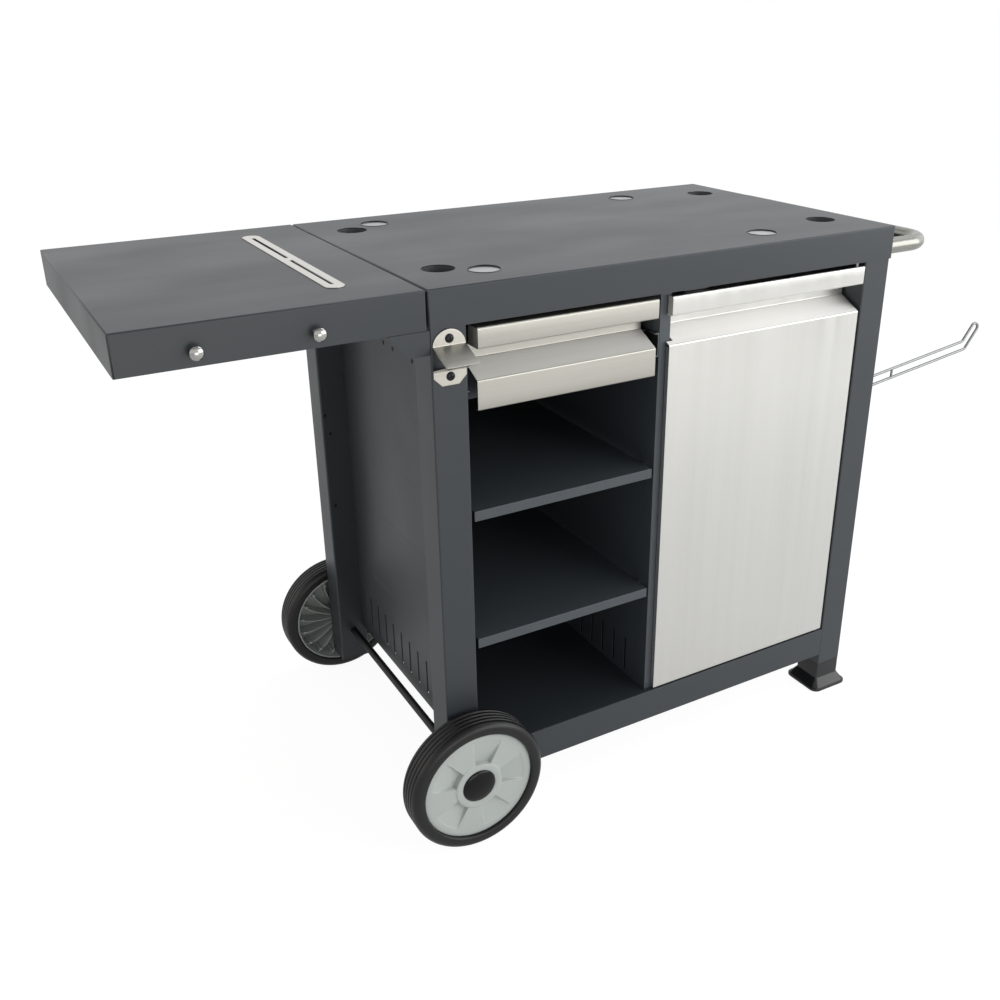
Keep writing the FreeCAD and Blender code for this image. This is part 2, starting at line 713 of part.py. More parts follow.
for x, turn, y in (("drawer_left + drawer_width", UP, "box_y"),
                   ("drawer_left", HALF_TURN, "box_y + box_depth")):
    moving.append(folded("runner_inner%d" % len(moving), "XZ_Plane", inner, "box_depth", x, y, "runner_z",
                         True, turn))
keep(group("runners_fixed", fixed), "runners_fixed")
keep(group("runners_moving", moving), "runners_moving")

# Door: folded skin, rear pan, pivot pins, and the magnet that holds it shut
fold = folded("door_fold", "YZ_Plane", pull_outline("door_face"), "door_width", "door_left", "door_y",
              "front_top")
skin = fuse("door_closed_fold", [fold] + strip_ends("door", "door_left", "door_width", "door_y"))
notch = box("door_notch", "door_left - overcut", "stile_y - door_notch_gap", "face_top - overcut",
            "door_lap + door_notch_side + overcut", "trough_depth + overcut",
            "front_top - face_top + 2 * overcut")
keep(cut("door_skin", skin, [notch]), "door_skin")
pan_y = "skirt_proud + skin_gauge"
pan_z = "door_bottom + skin_gauge"
pan = box("pan_shell", "door_left", pan_y, pan_z, "door_width", "pan_depth", "pan_height")
room = box("pan_room", "door_left + box_gauge", pan_y + " - overcut", pan_z + " + box_gauge",
           "door_width - 2 * box_gauge", "pan_depth - box_gauge + overcut", "pan_height - 2 * box_gauge")
keep(cut("door_pan", pan, [room]), "door_pan")
high_pin = rod("high_pin", "pivot_x", "pivot_y", "front_top", UP, "door_pin_radius",
               "head_z + gauge + door_pin_grip - front_top")
low_pin = rod("low_pin", "pivot_x", "pivot_y", "rail_top - 2 * gauge - door_pin_grip", UP,
              "door_pin_radius",
              "door_floor_gap + 2 * gauge + door_pin_grip")
keep(group("door_pins", [high_pin, low_pin]), "door_pins")
keep(box("door_magnet", "stile_right + magnet_inset", "stile_y", "front_top + run_gap", "magnet_length",
         "magnet_depth", "head_z - front_top - run_gap"), "door_magnet")

# Bottle opener: bent strip with a forward nose and a cap window, half-round top, clipped lower corners
opener_y = "skirt_proud - opener_gauge"
opener_mid = "opener_x + opener_width / 2"
lap = "opener_gauge * 3 / 4"
strip = [("0", "0"), ("0", "opener_tail"), ("0 - opener_nose", "opener_tip_z"), ("0", "opener_nose_z"),
         ("0", "opener_height"), ("opener_gauge", "opener_height"),
         ("opener_gauge", "opener_nose_z - " + lap),
         ("opener_fold - opener_nose", "opener_tip_z"), ("opener_gauge", "opener_tail + " + lap),
         ("opener_gauge", "0")]
blade = folded("opener_strip", "YZ_Plane", strip, "opener_width", "opener_x", opener_y, "opener_z")
window = box("opener_mouth", "opener_x + (opener_width - opener_window) / 2",
             "skirt_proud - opener_nose + opener_window_lip", "opener_z + opener_tail + opener_window_sill",
             "opener_window", "opener_nose - 2 * opener_window_lip",
             "opener_nose_back - opener_window_sill")
crest = box("opener_crest", "opener_x - overcut", opener_y + " - overcut", "opener_top - opener_width / 2",
            "opener_width + 2 * overcut", "opener_gauge + 2 * overcut", "opener_width / 2 + overcut")
arch = rod("opener_arch", opener_mid, opener_y + " - 2 * overcut", "opener_top - opener_width / 2", ALONG_Y,
           "opener_width / 2", "opener_gauge + 4 * overcut")
trims = [window, cut("opener_corners", crest, [arch])]
for x in ("opener_x", "opener_x + opener_width"):
    clip = doc.addObject("Part::Box", "opener_clip%d" % len(trims))
    bind(clip, Length="opener_clip * sqrt(2)", Width="opener_gauge + 2 * overcut",
         Height="opener_clip * sqrt(2)")
    turn = FreeCAD.Rotation(V(0, 1, 0), -45)
    trims.append(place(clip, x, opener_y + " - overcut", "opener_z - opener_clip", turn))
keep(cut("bottle_opener", blade, trims), "bottle_opener")
heads = []
for z in ("opener_top - opener_screw_inset", "opener_z + opener_screw_inset"):
    heads.append(rod("opener_screw%d" % len(heads), opener_mid, opener_y + " - screw_head_height", z,
                     ALONG_Y,
                     "screw_head_radius", "screw_head_height"))
keep(group("opener_screws", heads), "opener_screws")

# Push handle: bent tube on two flanges
runs = []
flanges = []
reach = "handle_standoff - handle_turn_radius - flange_gauge"
for y, side, spin in (("handle_inset", "+", 270), ("handle_far", "-", 0)):
    mark = len(flanges)
    runs.append(rod("handle_run%d" % mark, "top_length + flange_gauge", y, "handle_z", ALONG_X,
                    "handle_radius", reach))
    elbow = doc.addObject("Part::Torus", "handle_elbow%d" % mark)
    bind(elbow, Radius1="handle_turn_radius", Radius2="handle_radius")
    elbow.Angle3 = 90
    runs.append(place(elbow, "handle_x - handle_turn_radius", "%s %s handle_turn_radius" % (y, side),
                      "handle_z",
                      FreeCAD.Rotation(V(0, 0, 1), spin)))
    flanges.append(rod("handle_flange%d" % mark, "top_length", y, "handle_z", ALONG_X,
                       "handle_radius + flange_lip",
                       "flange_gauge"))
runs.append(rod("handle_grip", "handle_x", "handle_inset + handle_turn_radius", "handle_z", ALONG_Y,
                "handle_radius",
                "handle_far - handle_inset - 2 * handle_turn_radius"))
keep(fuse("handle", runs), "handle")
keep(group("handle_flanges", flanges), "handle_flanges")

# Paper towel holder: wire hairpin with a raised tip and a cross wire, on a screwed plate
root = val("towel_x + towel_plate_gauge")
pitch = val("wire_pitch")
start = V(root, 0, val("wire_root"))
knee = start + V(val("wire_reach"), 0, val("wire_rise"))
tip = knee + V(val("wire_tip_out"), 0, val("wire_tip_up"))
tip_run = (tip - knee).normalize()
across = V(-tip_run.z, 0, tip_run.x)
lower_run = (knee - start).normalize()
half_way = (across + V(-lower_run.z, 0, lower_run.x)).normalize()
far_tip = tip + across * pitch
far_knee = knee + half_way * (pitch / half_way.dot(across))
far_start = V(root, 0, start.z + pitch / lower_run.x)
crown = (tip + far_tip) * 0.5 + tip_run * (pitch / 2)
path = Part.Wire([Part.makeLine(start, knee), Part.makeLine(knee, tip),
                  Part.Arc(tip, crown, far_tip).toShape(),
                  Part.makeLine(far_tip, far_knee), Part.makeLine(far_knee, far_start)])
ring = Part.Wire([Part.makeCircle(val("wire_radius"), start, knee - start)])
hairpin = path.makePipeShell([ring], True, False, 2)
rung = start + (knee - start) * (val("wire_cross") / val("wire_reach"))
cross = Part.makeCylinder(val("cross_wire_radius"), pitch, rung, V(0, 0, 1))
outside = Part.makeBox(2 * val("top_length"), 4 * pitch, 2 * val("top_height"), V(root, -2 * pitch, 0))
wire = doc.addObject("Part::Feature", "towel_wire")
wire.Shape = hairpin.fuse(cross).common(outside).Solids[0]
keep(place(wire, "0", "wire_depth", "0"), "towel_wire")
keep(box("towel_bracket", "towel_x", "wire_depth - towel_plate_width / 2", "towel_plate_z",
         "towel_plate_gauge",
         "towel_plate_width", "towel_plate_height"), "towel_bracket")
heads = []
for z in ("towel_plate_z + towel_screw_inset", "towel_plate_z + towel_plate_height - towel_screw_inset"):
    heads.append(rod("towel_screw%d" % len(heads), "towel_x + towel_plate_gauge", "wire_depth", z, ALONG_X,
                     "screw_head_radius", "screw_head_height"))
keep(group("towel_screws", heads), "towel_screws")

# Moulded feet under the right legs, plugs in the left ones
for label, y in (("foot_front", "skirt_proud"), ("foot_rear", "leg_in_rear")):
    body = new_body(label)
    out = "(leg_width - foot_base) / 2"
    outline = sketch(body, "XY_Plane")
    rect(outline, out, out, "foot_base", "foot_base")
    round_edges(body, pad(body, outline, "foot_lip"), "foot_corner", lambda edge: edge.BoundBox.ZLength > 1)
    wide = sketch(body, "XY_Plane", "foot_lip")
    rect(wide, out + " + foot_lip_step", out + " + foot_lip_step", "foot_base - 2 * foot_lip_step",
         "foot_base - 2 * foot_lip_step")
    slim = sketch(body, "XY_Plane", "foot_lip + foot_flare")
    rect(slim, "0", "0", "leg_width", "leg_width")
    flare = body.newObject("PartDesign::AdditiveLoft", label + "_flare")
    flare.Profile = wide
    flare.Sections = [slim]
    flare.Ruled = True
    sleeve = sketch(body, "XY_Plane", "foot_lip + foot_flare")
    rect(sleeve, "0", "0", "leg_width", "leg_width")
    pad(body, sleeve, "foot_sleeve")
    plug = sketch(body, "XY_Plane", "foot_height")
    rect(plug, "gauge", "gauge", "plug_width", "plug_width")
    pad(body, plug, "foot_plug")
    keep(place(body, "leg_in_right", y, "0"), label)
stops = []
for y in ("skirt_proud", "leg_in_rear"):
    mark = len(stops)
    core = box("plug_core%d" % mark, "skirt_proud + gauge", y + " + gauge", "foot_height", "plug_width",
               "plug_width",
               "plug_depth")
    lip = box("plug_lip%d" % mark, "skirt_proud", y, "foot_height - plug_lip", "leg_width", "leg_width",
              "plug_lip")
    stops.append(fuse("plug%d" % mark, [core, lip]))
keep(group("leg_plugs", stops), "leg_plugs")

# Axle with a washer inside each wheel
keep(rod("axle", "axle_x", "wheel_front - hub_face + axle_end", "tyre_radius", ALONG_Y, "axle_radius",
         "wheel_rear - wheel_front + 2 * hub_face - 2 * axle_end"), "axle")
rings = []
for y in ("wheel_front + run_gap", "top_depth - skirt_proud"):
    disc = rod("washer_disc%d" % len(rings), "axle_x", y, "tyre_radius", ALONG_Y, "washer_radius",
               "wheel_gap - run_gap")
    rings.append(cut("washer%d" % len(rings), disc, [axle_drill]))
keep(group("axle_washers", rings), "axle_washers")

# Wheels: grooved tyre, hub with five pockets between flat pads and swept ribs behind, domed cap
tread = [("0", "hub_radius"), ("0", "tyre_radius - tyre_shoulder"), ("tyre_shoulder", "tyre_radius")]
for i in range(GROOVES):
    middle = "tyre_width * %d / %d" % (i + 1, GROOVES + 1)
    for edge, radius in (("- groove_width", "tyre_radius"),
                         ("- groove_width", "tyre_radius - groove_depth"),
                         ("+ groove_width", "tyre_radius - groove_depth"),
                         ("+ groove_width", "tyre_radius")):
        tread.append(("%s %s / 2" % (middle, edge), radius))
tread += [("tyre_width - tyre_shoulder", "tyre_radius"), ("tyre_width", "tyre_radius - tyre_shoulder"),
          ("tyre_width", "hub_radius")]
bore = "axle_radius + pin_play"
rise = "hub_face + hub_ring_rise"
brow = "hub_face - hub_ring_rise"
dish = [("0", bore), ("0", "hub_boss_radius"), ("hub_back", "hub_boss_radius"), ("hub_back", "hub_room"),
        ("hub_rib", "hub_room"), ("hub_rib", "hub_radius"), ("hub_face", "hub_radius"),
        ("hub_face", "hub_radius - hub_lip"), (brow, "hub_room"), (brow, "hub_pocket_radius"),
        (brow + " - hub_pocket_step", "hub_pocket_radius - hub_pocket_step"),
        ("hub_face - hub_dish", "hub_ring_radius + hub_ring_rise"),
        (rise, "hub_ring_radius - hub_ring_rise"),
        (rise, "cap_radius + hub_ring_rise / 2"), ("cap_seat_y", "cap_radius"), ("cap_seat_y", bore)]
dome = [("cap_seat_y", "0"), ("cap_seat_y", "cap_radius - cap_play"), ("hub_face", "cap_radius - cap_play"),
        ("hub_face + cap_dome * 0.7", "cap_radius * 0.7"), ("hub_face + cap_dome", "cap_radius * 0.3"),
        ("hub_face + cap_dome", "0")]
half_rib = "hub_rib / 2"
rib_root = "hub_boss_radius - hub_rib"
rib_end = "hub_room - hub_rib"
rib = [("0 - " + half_rib, rib_root), (half_rib, rib_root), ("hub_rib_sweep + " + half_rib, rib_end),
       ("hub_rib_sweep - " + half_rib, rib_end)]
rib_start = "hub_back - hub_rib_height"
rib_depth = "hub_rib_height + hub_web / 2"
pad_root = "(hub_ring_radius - 2 * hub_ring_rise)"
pad_end = "(hub_pocket_radius + hub_room) / 2"
flank = "tan(hub_pad_angle * 1deg / 2)"
hub_pad = [("0 - %s * %s" % (pad_root, flank), pad_root), ("%s * %s" % (pad_root, flank), pad_root),
           ("%s * %s" % (pad_end, flank), pad_end), ("0 - %s * %s" % (pad_end, flank), pad_end)]
pad_start = "hub_back + hub_web / 2"
pad_depth = "hub_dish + hub_web / 2 - hub_ring_rise"
for side, y, turn in (("front", "wheel_front", HALF_TURN), ("rear", "wheel_rear", UP)):
    keep(spun(side + "_tyre", tread, "axle_x", y, "tyre_radius", turn), side + "_tyre")
    hub = spun(side + "_hub", dish, "axle_x", y, "tyre_radius", turn)
    for outline, start, depth, count, first in ((hub_pad, pad_start, pad_depth, HUB_PADS, "hub_pad_turn"),
                                                (rib, rib_start, rib_depth, HUB_RIBS, "0")):
        form = sketch(hub, "XZ_Plane", "0 - (%s)" % start)
        poly(form, outline)
        form.setExpression("AttachmentOffset.Rotation.Angle", ex(first) + " * 1deg")
        web = pad(hub, form, depth, True)
        turns = hub.newObject("PartDesign::PolarPattern", "%s_webs%d" % (side, count))
        turns.Originals = [web]
        turns.Axis = (origin(hub, "Y_Axis"), [""])
        turns.Angle = 360
        turns.Occurrences = count
        hub.Tip = turns
    keep(hub, side + "_hub")
    keep(spun(side + "_cap", dome, "axle_x", y, "tyre_radius", turn), side + "_cap")

doc.recompute()
bad = [o.Name for o in doc.Objects if "Invalid" in o.State or "Error" in o.State]
if bad:
    raise RuntimeError("not built: " + ", ".join(bad))
os.makedirs("parts", exist_ok=True)
for label, obj in ready.items():
    if obj.Shape.isNull() or not obj.Shape.isValid():
        raise RuntimeError("bad shape: " + label)
    obj.Shape.exportStep("parts/%s.step" % label)
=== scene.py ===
"""Looks of the grill prep cart: powder-coated sheet steel, brushed stainless fronts and moulded wheels."""

import json
import math

import bmesh
import bpy
from mathutils import Matrix, Vector


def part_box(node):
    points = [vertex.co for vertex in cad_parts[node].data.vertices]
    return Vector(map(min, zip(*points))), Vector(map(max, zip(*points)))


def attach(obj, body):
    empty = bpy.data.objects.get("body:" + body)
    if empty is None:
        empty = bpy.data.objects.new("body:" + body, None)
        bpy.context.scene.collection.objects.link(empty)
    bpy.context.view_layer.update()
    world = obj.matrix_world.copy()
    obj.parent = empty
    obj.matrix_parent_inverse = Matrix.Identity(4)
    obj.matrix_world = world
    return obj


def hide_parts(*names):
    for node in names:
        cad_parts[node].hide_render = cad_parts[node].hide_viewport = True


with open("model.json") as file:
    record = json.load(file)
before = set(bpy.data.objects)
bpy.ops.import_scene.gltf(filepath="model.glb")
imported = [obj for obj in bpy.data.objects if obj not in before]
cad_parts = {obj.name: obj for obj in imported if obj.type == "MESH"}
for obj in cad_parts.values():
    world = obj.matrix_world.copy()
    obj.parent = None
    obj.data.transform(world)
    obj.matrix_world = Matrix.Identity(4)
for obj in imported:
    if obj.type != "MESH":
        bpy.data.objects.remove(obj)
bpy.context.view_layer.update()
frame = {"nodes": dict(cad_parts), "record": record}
MM = 0.001
PARTS = frame["nodes"]
FULL_TURN = 2 * math.pi
QUARTER = math.pi / 2
scene = bpy.context.scene

# Cart millimetres: x from the worktop's left edge, y from its front edge, z from the floor
CORNER = Vector(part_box("worktop")[0])


def at(x, y, z):
    """A place on the cart, given in millimetres, in the row frame in metres."""
    return Vector((CORNER.x + x * MM, CORNER.y + y * MM, z * MM))


def linear(hex_code):
    """An sRGB hex value as the linear colour that a socket takes."""
    parts = [int(hex_code[i:i + 2], 16) / 255 for i in (1, 3, 5)]
    return [p / 12.92 if p <= 0.04045 else ((p + 0.055) / 1.055) ** 2.4 for p in parts] + [1.0]


def add(tree, kind, values=None, **settings):
    """Adds one node with its settings, and links or sets the inputs that values names."""
    node = tree.nodes.new(kind)
    for name, setting in settings.items():
        setattr(node, name, setting)
    for key, value in (values or {}).items():
        links = value if isinstance(value, list) and isinstance(value[0], bpy.types.NodeSocket) else [value]
        for link in links:
            if isinstance(link, bpy.types.NodeSocket):
                tree.links.new(link, node.inputs[key])
            else:
                node.inputs[key].default_value = link
    return node


# Finishes

def bare_finish(name, colour, metallic, roughness, ior=1.5):
    """A material with a plain shader, and its tree, shader and object coordinates."""
    material = bpy.data.materials.new(name)
    material.use_nodes = True
    tree = material.node_tree
    shader = tree.nodes["Principled BSDF"]
    values = {"Base Color": linear(colour), "Metallic": metallic, "Roughness": roughness, "IOR": ior}
    for key, value in values.items():
        shader.inputs[key].default_value = value
    place = add(tree, "ShaderNodeTexCoord").outputs["Object"]
    return material, tree, shader, place


def noise(tree, place, sizes, detail=2.0, roughness=0.5):
    """Noise whose spots have these sizes in millimetres along X, Y and Z."""
    scaled = add(tree, "ShaderNodeMapping", {"Vector": place, "Scale": [1 / (size * MM) for size in sizes]})
    return add(tree, "ShaderNodeTexNoise", {"Vector": scaled.outputs[0], "Scale": 1.0, "Detail": detail,
                                            "Roughness": roughness}).outputs[0]


def blend(tree, share, dark, light):
    """A colour between two, by a share."""
    return add(tree, "ShaderNodeMix", {0: share, 6: dark, 7: light}, data_type="RGBA").outputs[2]


def spread(tree, value, low, high):
    """Noise values stretched to run from low to high."""
    return add(tree, "ShaderNodeMapRange", {"Value": value, "From Min": 0.3, "From Max": 0.7, "To Min": low,
                                            "To Max": high}).outputs[0]


def press(tree, shader, height, depth):
    """Presses a height pattern of this depth in millimetres into the surface."""
    bump = add(tree, "ShaderNodeBump", {"Height": height, "Distance": depth * MM})
    tree.links.new(bump.outputs[0], shader.inputs["Normal"])


def powder_coat(name, dark, light):
    """Polyester powder, sprayed and baked on sheet steel: satin, with a little orange peel and wiped
    patches that are slightly more or less glossy."""
    material, tree, shader, place = bare_finish(name, dark, 0.0, 0.4, 1.47)
    wiped = noise(tree, place, (260, 120, 160), 3.0)
    tree.links.new(spread(tree, wiped, 0.36, 0.44), shader.inputs["Roughness"])
    tree.links.new(blend(tree, wiped, linear(dark), linear(light)), shader.inputs["Base Color"])
    # Orange peel is about 1.5 mm; it is drawn at 3 mm so that it shows
    press(tree, shader, noise(tree, place, (3, 3, 3)), 0.012)
    return material


def brushed_steel(name, along, dark, light, rough=(0.28, 0.34)):
    """Ferritic stainless sheet, belt-brushed one way: hair lines and wider bands, which spread what they
    mirror across the lines."""
    material, tree, shader, place = bare_finish(name, light, 1.0, rough[0])
    # Brush lines are about 0.1 mm wide; they are drawn 0.7 mm wide and 260 mm long so that they show
    fine = [0.7, 0.7, 0.7]
    fine[along] = 260
    wide = [22, 22, 22]
    wide[along] = 900
    hairs = noise(tree, place, fine, 3.0, 0.6)
    bands = noise(tree, place, wide, 2.0)
    mixed = add(tree, "ShaderNodeMath", {0: bands, 1: hairs}, operation="ADD")
    halved = add(tree, "ShaderNodeMath", {0: mixed.outputs[0], 1: 0.5}, operation="MULTIPLY")
    tones = blend(tree, spread(tree, halved.outputs[0], 0.0, 1.0), linear(dark), linear(light))
    tree.links.new(tones, shader.inputs["Base Color"])
    tree.links.new(spread(tree, bands, rough[0], rough[1]), shader.inputs["Roughness"])
    press(tree, shader, hairs, 0.003)
    # Tipped a little off X, so that it stands upright on no face
    lines = add(tree, "ShaderNodeCombineXYZ", {"X": 1.0, "Y": 0.03, "Z": 0.04})
    tree.links.new(lines.outputs[0], shader.inputs["Tangent"])
    shader.inputs["Anisotropic"].default_value = 0.6
    shader.inputs["Anisotropic Rotation"].default_value = 0.25 if along == 0 else 0.0
    return material


def fine_grained(name, colour, metallic, roughness, spot, depth, ior=1.5):
    """Plated metal, moulded plastic or rubber with a fine, even grain."""
    material, tree, shader, place = bare_finish(name, colour, metallic, roughness, ior)
    press(tree, shader, noise(tree, place, (spot, spot, spot)), depth)
    return material


def cup_plastic():
    """Dark grey moulded plastic of the foot cups, with painted shade that darkens it towards the floor of
    each cup.
    """
    cup_colour = "#5c5e60"
    painted_shade = "#0d0d0e"
    material, tree, shader, place = bare_finish("dark_grey_cup_plastic", cup_colour, 0.0, 0.4)
    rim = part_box("foot_cups")[1].z
    height = add(tree, "ShaderNodeSeparateXYZ", {0: place}).outputs["Z"]
    # Painted shade: the colour darkens to near black from 5 mm to 15 mm below the rim, where the inside of
    # the cup lies in shadow
    share = add(tree, "ShaderNodeMapRange", {"Value": height, "From Min": rim - 15 * MM,
                                             "From Max": rim - 5 * MM})
    shaded_colour = blend(tree, share.outputs[0], linear(painted_shade), linear(cup_colour))
    tree.links.new(shaded_colour, shader.inputs["Base Color"])
    press(tree, shader, noise(tree, place, (1.2, 1.2, 1.2)), 0.012)
    return material


coat = powder_coat("anthracite_powder_coat", "#32373b", "#373c40")
# The sheets in and beside the open bay take a lighter copy of the same coat: painted light that brightens the
# shaded bay
lightened_coat = powder_coat("thin_anthracite_powder_coat", "#454b50", "#4a5055")
door_steel = brushed_steel("door_steel_brushed_upright", 2, "#d2d1cc", "#dad9d5")
drawer_steel = brushed_steel("drawer_steel_brushed_across", 0, "#a5a39b", "#b0aea6")
# The belt can't reach into the folded troughs, so these are rubbed by hand and stay rougher; their colours
# are also lighter than the fronts', painted light on the shaded slopes and strip undersides
door_trough = brushed_steel("door_trough_steel_rubbed", 0, "#e6e5e2", "#f1f0ee", (0.6, 0.68))
drawer_trough = brushed_steel("drawer_trough_steel_rubbed", 0, "#c6c5c1", "#d4d3d0", (0.6, 0.68))
# Unbrushed sheet on the end plates of the strips; its light colour is partly painted light, lightened for end
# plates that get little light
lightened_mill_steel = fine_grained("dull_mill_steel", "#dedcd6", 1.0, 0.62, 1.5, 0.01)
plate_steel = brushed_steel("plate_steel_brushed_lengthwise", 1, "#c9c7c1", "#d6d4cf")
opener_steel = brushed_steel("opener_steel_brushed_across", 0, "#b7b4ab", "#c4c1b9")
# Polished, plated and oxidised metal. The tube, the chrome and the wire are darker than bright metal: painted
# shade that stands in for the darker surroundings they mirror
tube_steel = fine_grained("polished_stainless_tube", "#8f8e88", 1.0, 0.26, 2.0, 0.003)
chrome = fine_grained("bright_chrome_plate", "#a9a9a6", 1.0, 0.12, 4.0, 0.002)
wire_plate = fine_grained("chromed_wire", "#8b8d8b", 1.0, 0.3, 4.0, 0.002)
zinc = fine_grained("zinc_plated_steel", "#7d8081", 1.0, 0.36, 1.5, 0.01)
plug_metal = fine_grained("satin_grey_plug_steel", "#b9bbbc", 1.0, 0.42, 1.5, 0.008)
black_steel = fine_grained("black_oxide_steel", "#101011", 0.0, 0.42, 1.0, 0.01, 1.4)
# Injection-moulded plastics and rubber, with the spark grain of their moulds
black_plastic = fine_grained("black_moulded_polypropylene", "#1a1b1d", 0.0, 0.3, 1.2, 0.012)
cap_plastic = fine_grained("gloss_black_cap_plastic", "#070708", 0.0, 0.16, 3.0, 0.004, 1.33)
hub_plastic = fine_grained("pale_grey_moulded_hub_plastic", "#b8bebb", 0.0, 0.42, 2.0, 0.008)
rubber = fine_grained("ribbed_black_tyre_rubber", "#131314", 0.0, 0.36, 1.5, 0.012, 1.42)

FINISHES = {"powder_coat": coat, "brushed_stainless": opener_steel, "zinc_steel": zinc, "chrome": chrome,
            "plug_metal": plug_metal, "black_steel": black_steel, "black_plastic": black_plastic,
            "hub_plastic": hub_plastic, "tyre_rubber": rubber}
OWN_FINISH = {"door_pan": door_steel, "slotted_plate": plate_steel, "foot_cups": cup_plastic(),
              "handle_flanges": tube_steel, "shelf_upper": lightened_coat, "shelf_lower": lightened_coat,
              "divider": lightened_coat, "centre_stile": lightened_coat}
for part in frame["record"]["subparts"]:
    node_name = part["node"]
    for slot in PARTS[node_name].material_slots:
        slot.material = OWN_FINISH.get(node_name, FINISHES[part["material_slot"]])


# Rounded folds and edges on the CAD sheets

MERGE = 0.005 * MM
SAME_PLANE = math.radians(0.5)
EDGE_ANGLE = math.radians(30)


def keep_flat(piece):
    """A live modifier that keeps wide faces flat in the shading."""
    flats = piece.modifiers.new("flats", "WEIGHTED_NORMAL")
    flats.weight = 100
    flats.keep_sharp = True


def soften(names, width, segments=3):
    """Live modifiers that join the triangles of CAD nodes into faces and round their edges."""
    for name in names:
        piece = PARTS[name]
        weld = piece.modifiers.new("weld", "WELD")
        weld.merge_threshold = MERGE
        faces = piece.modifiers.new("faces", "DECIMATE")
        faces.decimate_type = "DISSOLVE"
        faces.angle_limit = SAME_PLANE
        edges = piece.modifiers.new("edges", "BEVEL")
        edges.width = width * MM
        edges.segments = segments
        edges.limit_method = "ANGLE"
        edges.angle_limit = EDGE_ANGLE
        edges.use_clamp_overlap = False
        keep_flat(piece)


soften(["bottle_opener"], 0.9)
soften(["slotted_plate"], 0.3, 2)
soften(["centre_stile", "bottom_rail_front", "bottom_rail_rear", "top_rail_front", "top_rail_rear",
        "shelf_upper", "shelf_lower", "bottom_panel"], 0.7, 2)
soften(["shelf_brackets", "towel_bracket", "door_magnet", "leg_plugs"], 0.6, 2)


# Shapes

def finish_piece(piece, body, replaced=(), sharp=38):
    """Merges, turns outwards and smooths a new piece, and lets it ride on its body."""
    form = bmesh.new()
    form.from_mesh(piece.data)
    bmesh.ops.remove_doubles(form, verts=form.verts, dist=0.01 * MM)
    bmesh.ops.dissolve_degenerate(form, edges=form.edges, dist=0.002 * MM)
    bmesh.ops.recalc_face_normals(form, faces=form.faces)
    form.to_mesh(piece.data)
    form.free()
    piece.data.shade_smooth()
    piece.data.set_sharp_from_angle(angle=math.radians(sharp))
    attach(piece, body)
    if replaced:
        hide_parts(*replaced)
    return piece


def new_piece(name, verts, edges=(), faces=(), material=None):
    """An object at the origin with its place in its mesh."""
    mesh = bpy.data.meshes.new(name)
    mesh.from_pydata(verts, edges, faces)
    if material:
        mesh.materials.append(material)
    piece = bpy.data.objects.new(name, mesh)
    scene.collection.objects.link(piece)
    return piece


def plain_mesh(piece):
    """Leaves the result of a piece's modifiers in it as a plain mesh."""
    made = bpy.data.meshes.new_from_object(piece.evaluated_get(bpy.context.evaluated_depsgraph_get()))
    piece.modifiers.clear()
    piece.data = made
    return piece


def turned(profile, centre, along, closed=False, steps=96):
    """Points and faces of a profile of (height, radius) pairs in millimetres, turned about an axis."""
    axis = Vector(along)
    side = axis.orthogonal().normalized()
    up = axis.cross(side)
    verts = []
    for height, radius in profile:
        for k in range(steps):
            angle = FULL_TURN * k / steps
            ray = side * math.cos(angle) + up * math.sin(angle)
            verts.append(centre + (axis * height + ray * radius) * MM)
    faces = []
    for i in range(len(profile) if closed else len(profile) - 1):
        j = (i + 1) % len(profile)
        for k in range(steps):
            n = (k + 1) % steps
            faces.append((i * steps + k, i * steps + n, j * steps + n, j * steps + k))
    return verts, faces


def several(shapes):
    """One list of points and faces from several."""
    verts, faces = [], []
    for points, sides in shapes:
        start = len(verts)
        verts += points
        faces += [tuple(start + i for i in side) for side in sides]
    return verts, faces


def block(low, high):
    """Points and faces of a straight block between two corners."""
    verts = [Vector((x, y, z)) for x in (low.x, high.x) for y in (low.y, high.y) for z in (low.z, high.z)]
    faces = [(0, 1, 3, 2), (4, 6, 7, 5), (0, 4, 5, 1), (2, 3, 7, 6), (0, 2, 6, 4), (1, 5, 7, 3)]
    return verts, faces


# Worktop and side shelf: sheet folded down on four sides, with round outer folds

# Least area of a folded wall, radius of the folds in millimetres, and their least turn in radians
WIDE_FACE = 5000 * MM * MM
SHEET_FOLD = 2.4
FOLD_ANGLE = 1.4


def folded_sheet(node, body):
    """A merged copy of a CAD sheet whose top and skirts meet in round folds."""
    form = bmesh.new()
    form.from_mesh(PARTS[node].data)
    bmesh.ops.remove_doubles(form, verts=form.verts, dist=MERGE)
    bmesh.ops.dissolve_limit(form, angle_limit=SAME_PLANE, verts=form.verts, edges=form.edges)
    folds = []
    for edge in form.edges:
        if len(edge.link_faces) == 2 and edge.is_convex and edge.calc_face_angle() > FOLD_ANGLE:
            walls = [face for face in edge.link_faces if face.normal.z < 0.5]
            if all(wall.normal.z > -0.5 and wall.calc_area() > WIDE_FACE for wall in walls):
                folds.append(edge)
    bmesh.ops.bevel(form, geom=folds, offset=SHEET_FOLD * MM, offset_type="OFFSET", segments=5, profile=0.5,
                    affect="EDGES", clamp_overlap=False)
    sheet = new_piece(node + "_folded", [])
    form.to_mesh(sheet.data)
    form.free()
    for old in PARTS[node].material_slots:
        sheet.data.materials.append(old.material)
    keep_flat(finish_piece(sheet, body, [node]))


folded_sheet("worktop", "cart")
folded_sheet("side_shelf", "side_shelf")


# Geometry Nodes: copies round an axle, screw heads, and rods along paths

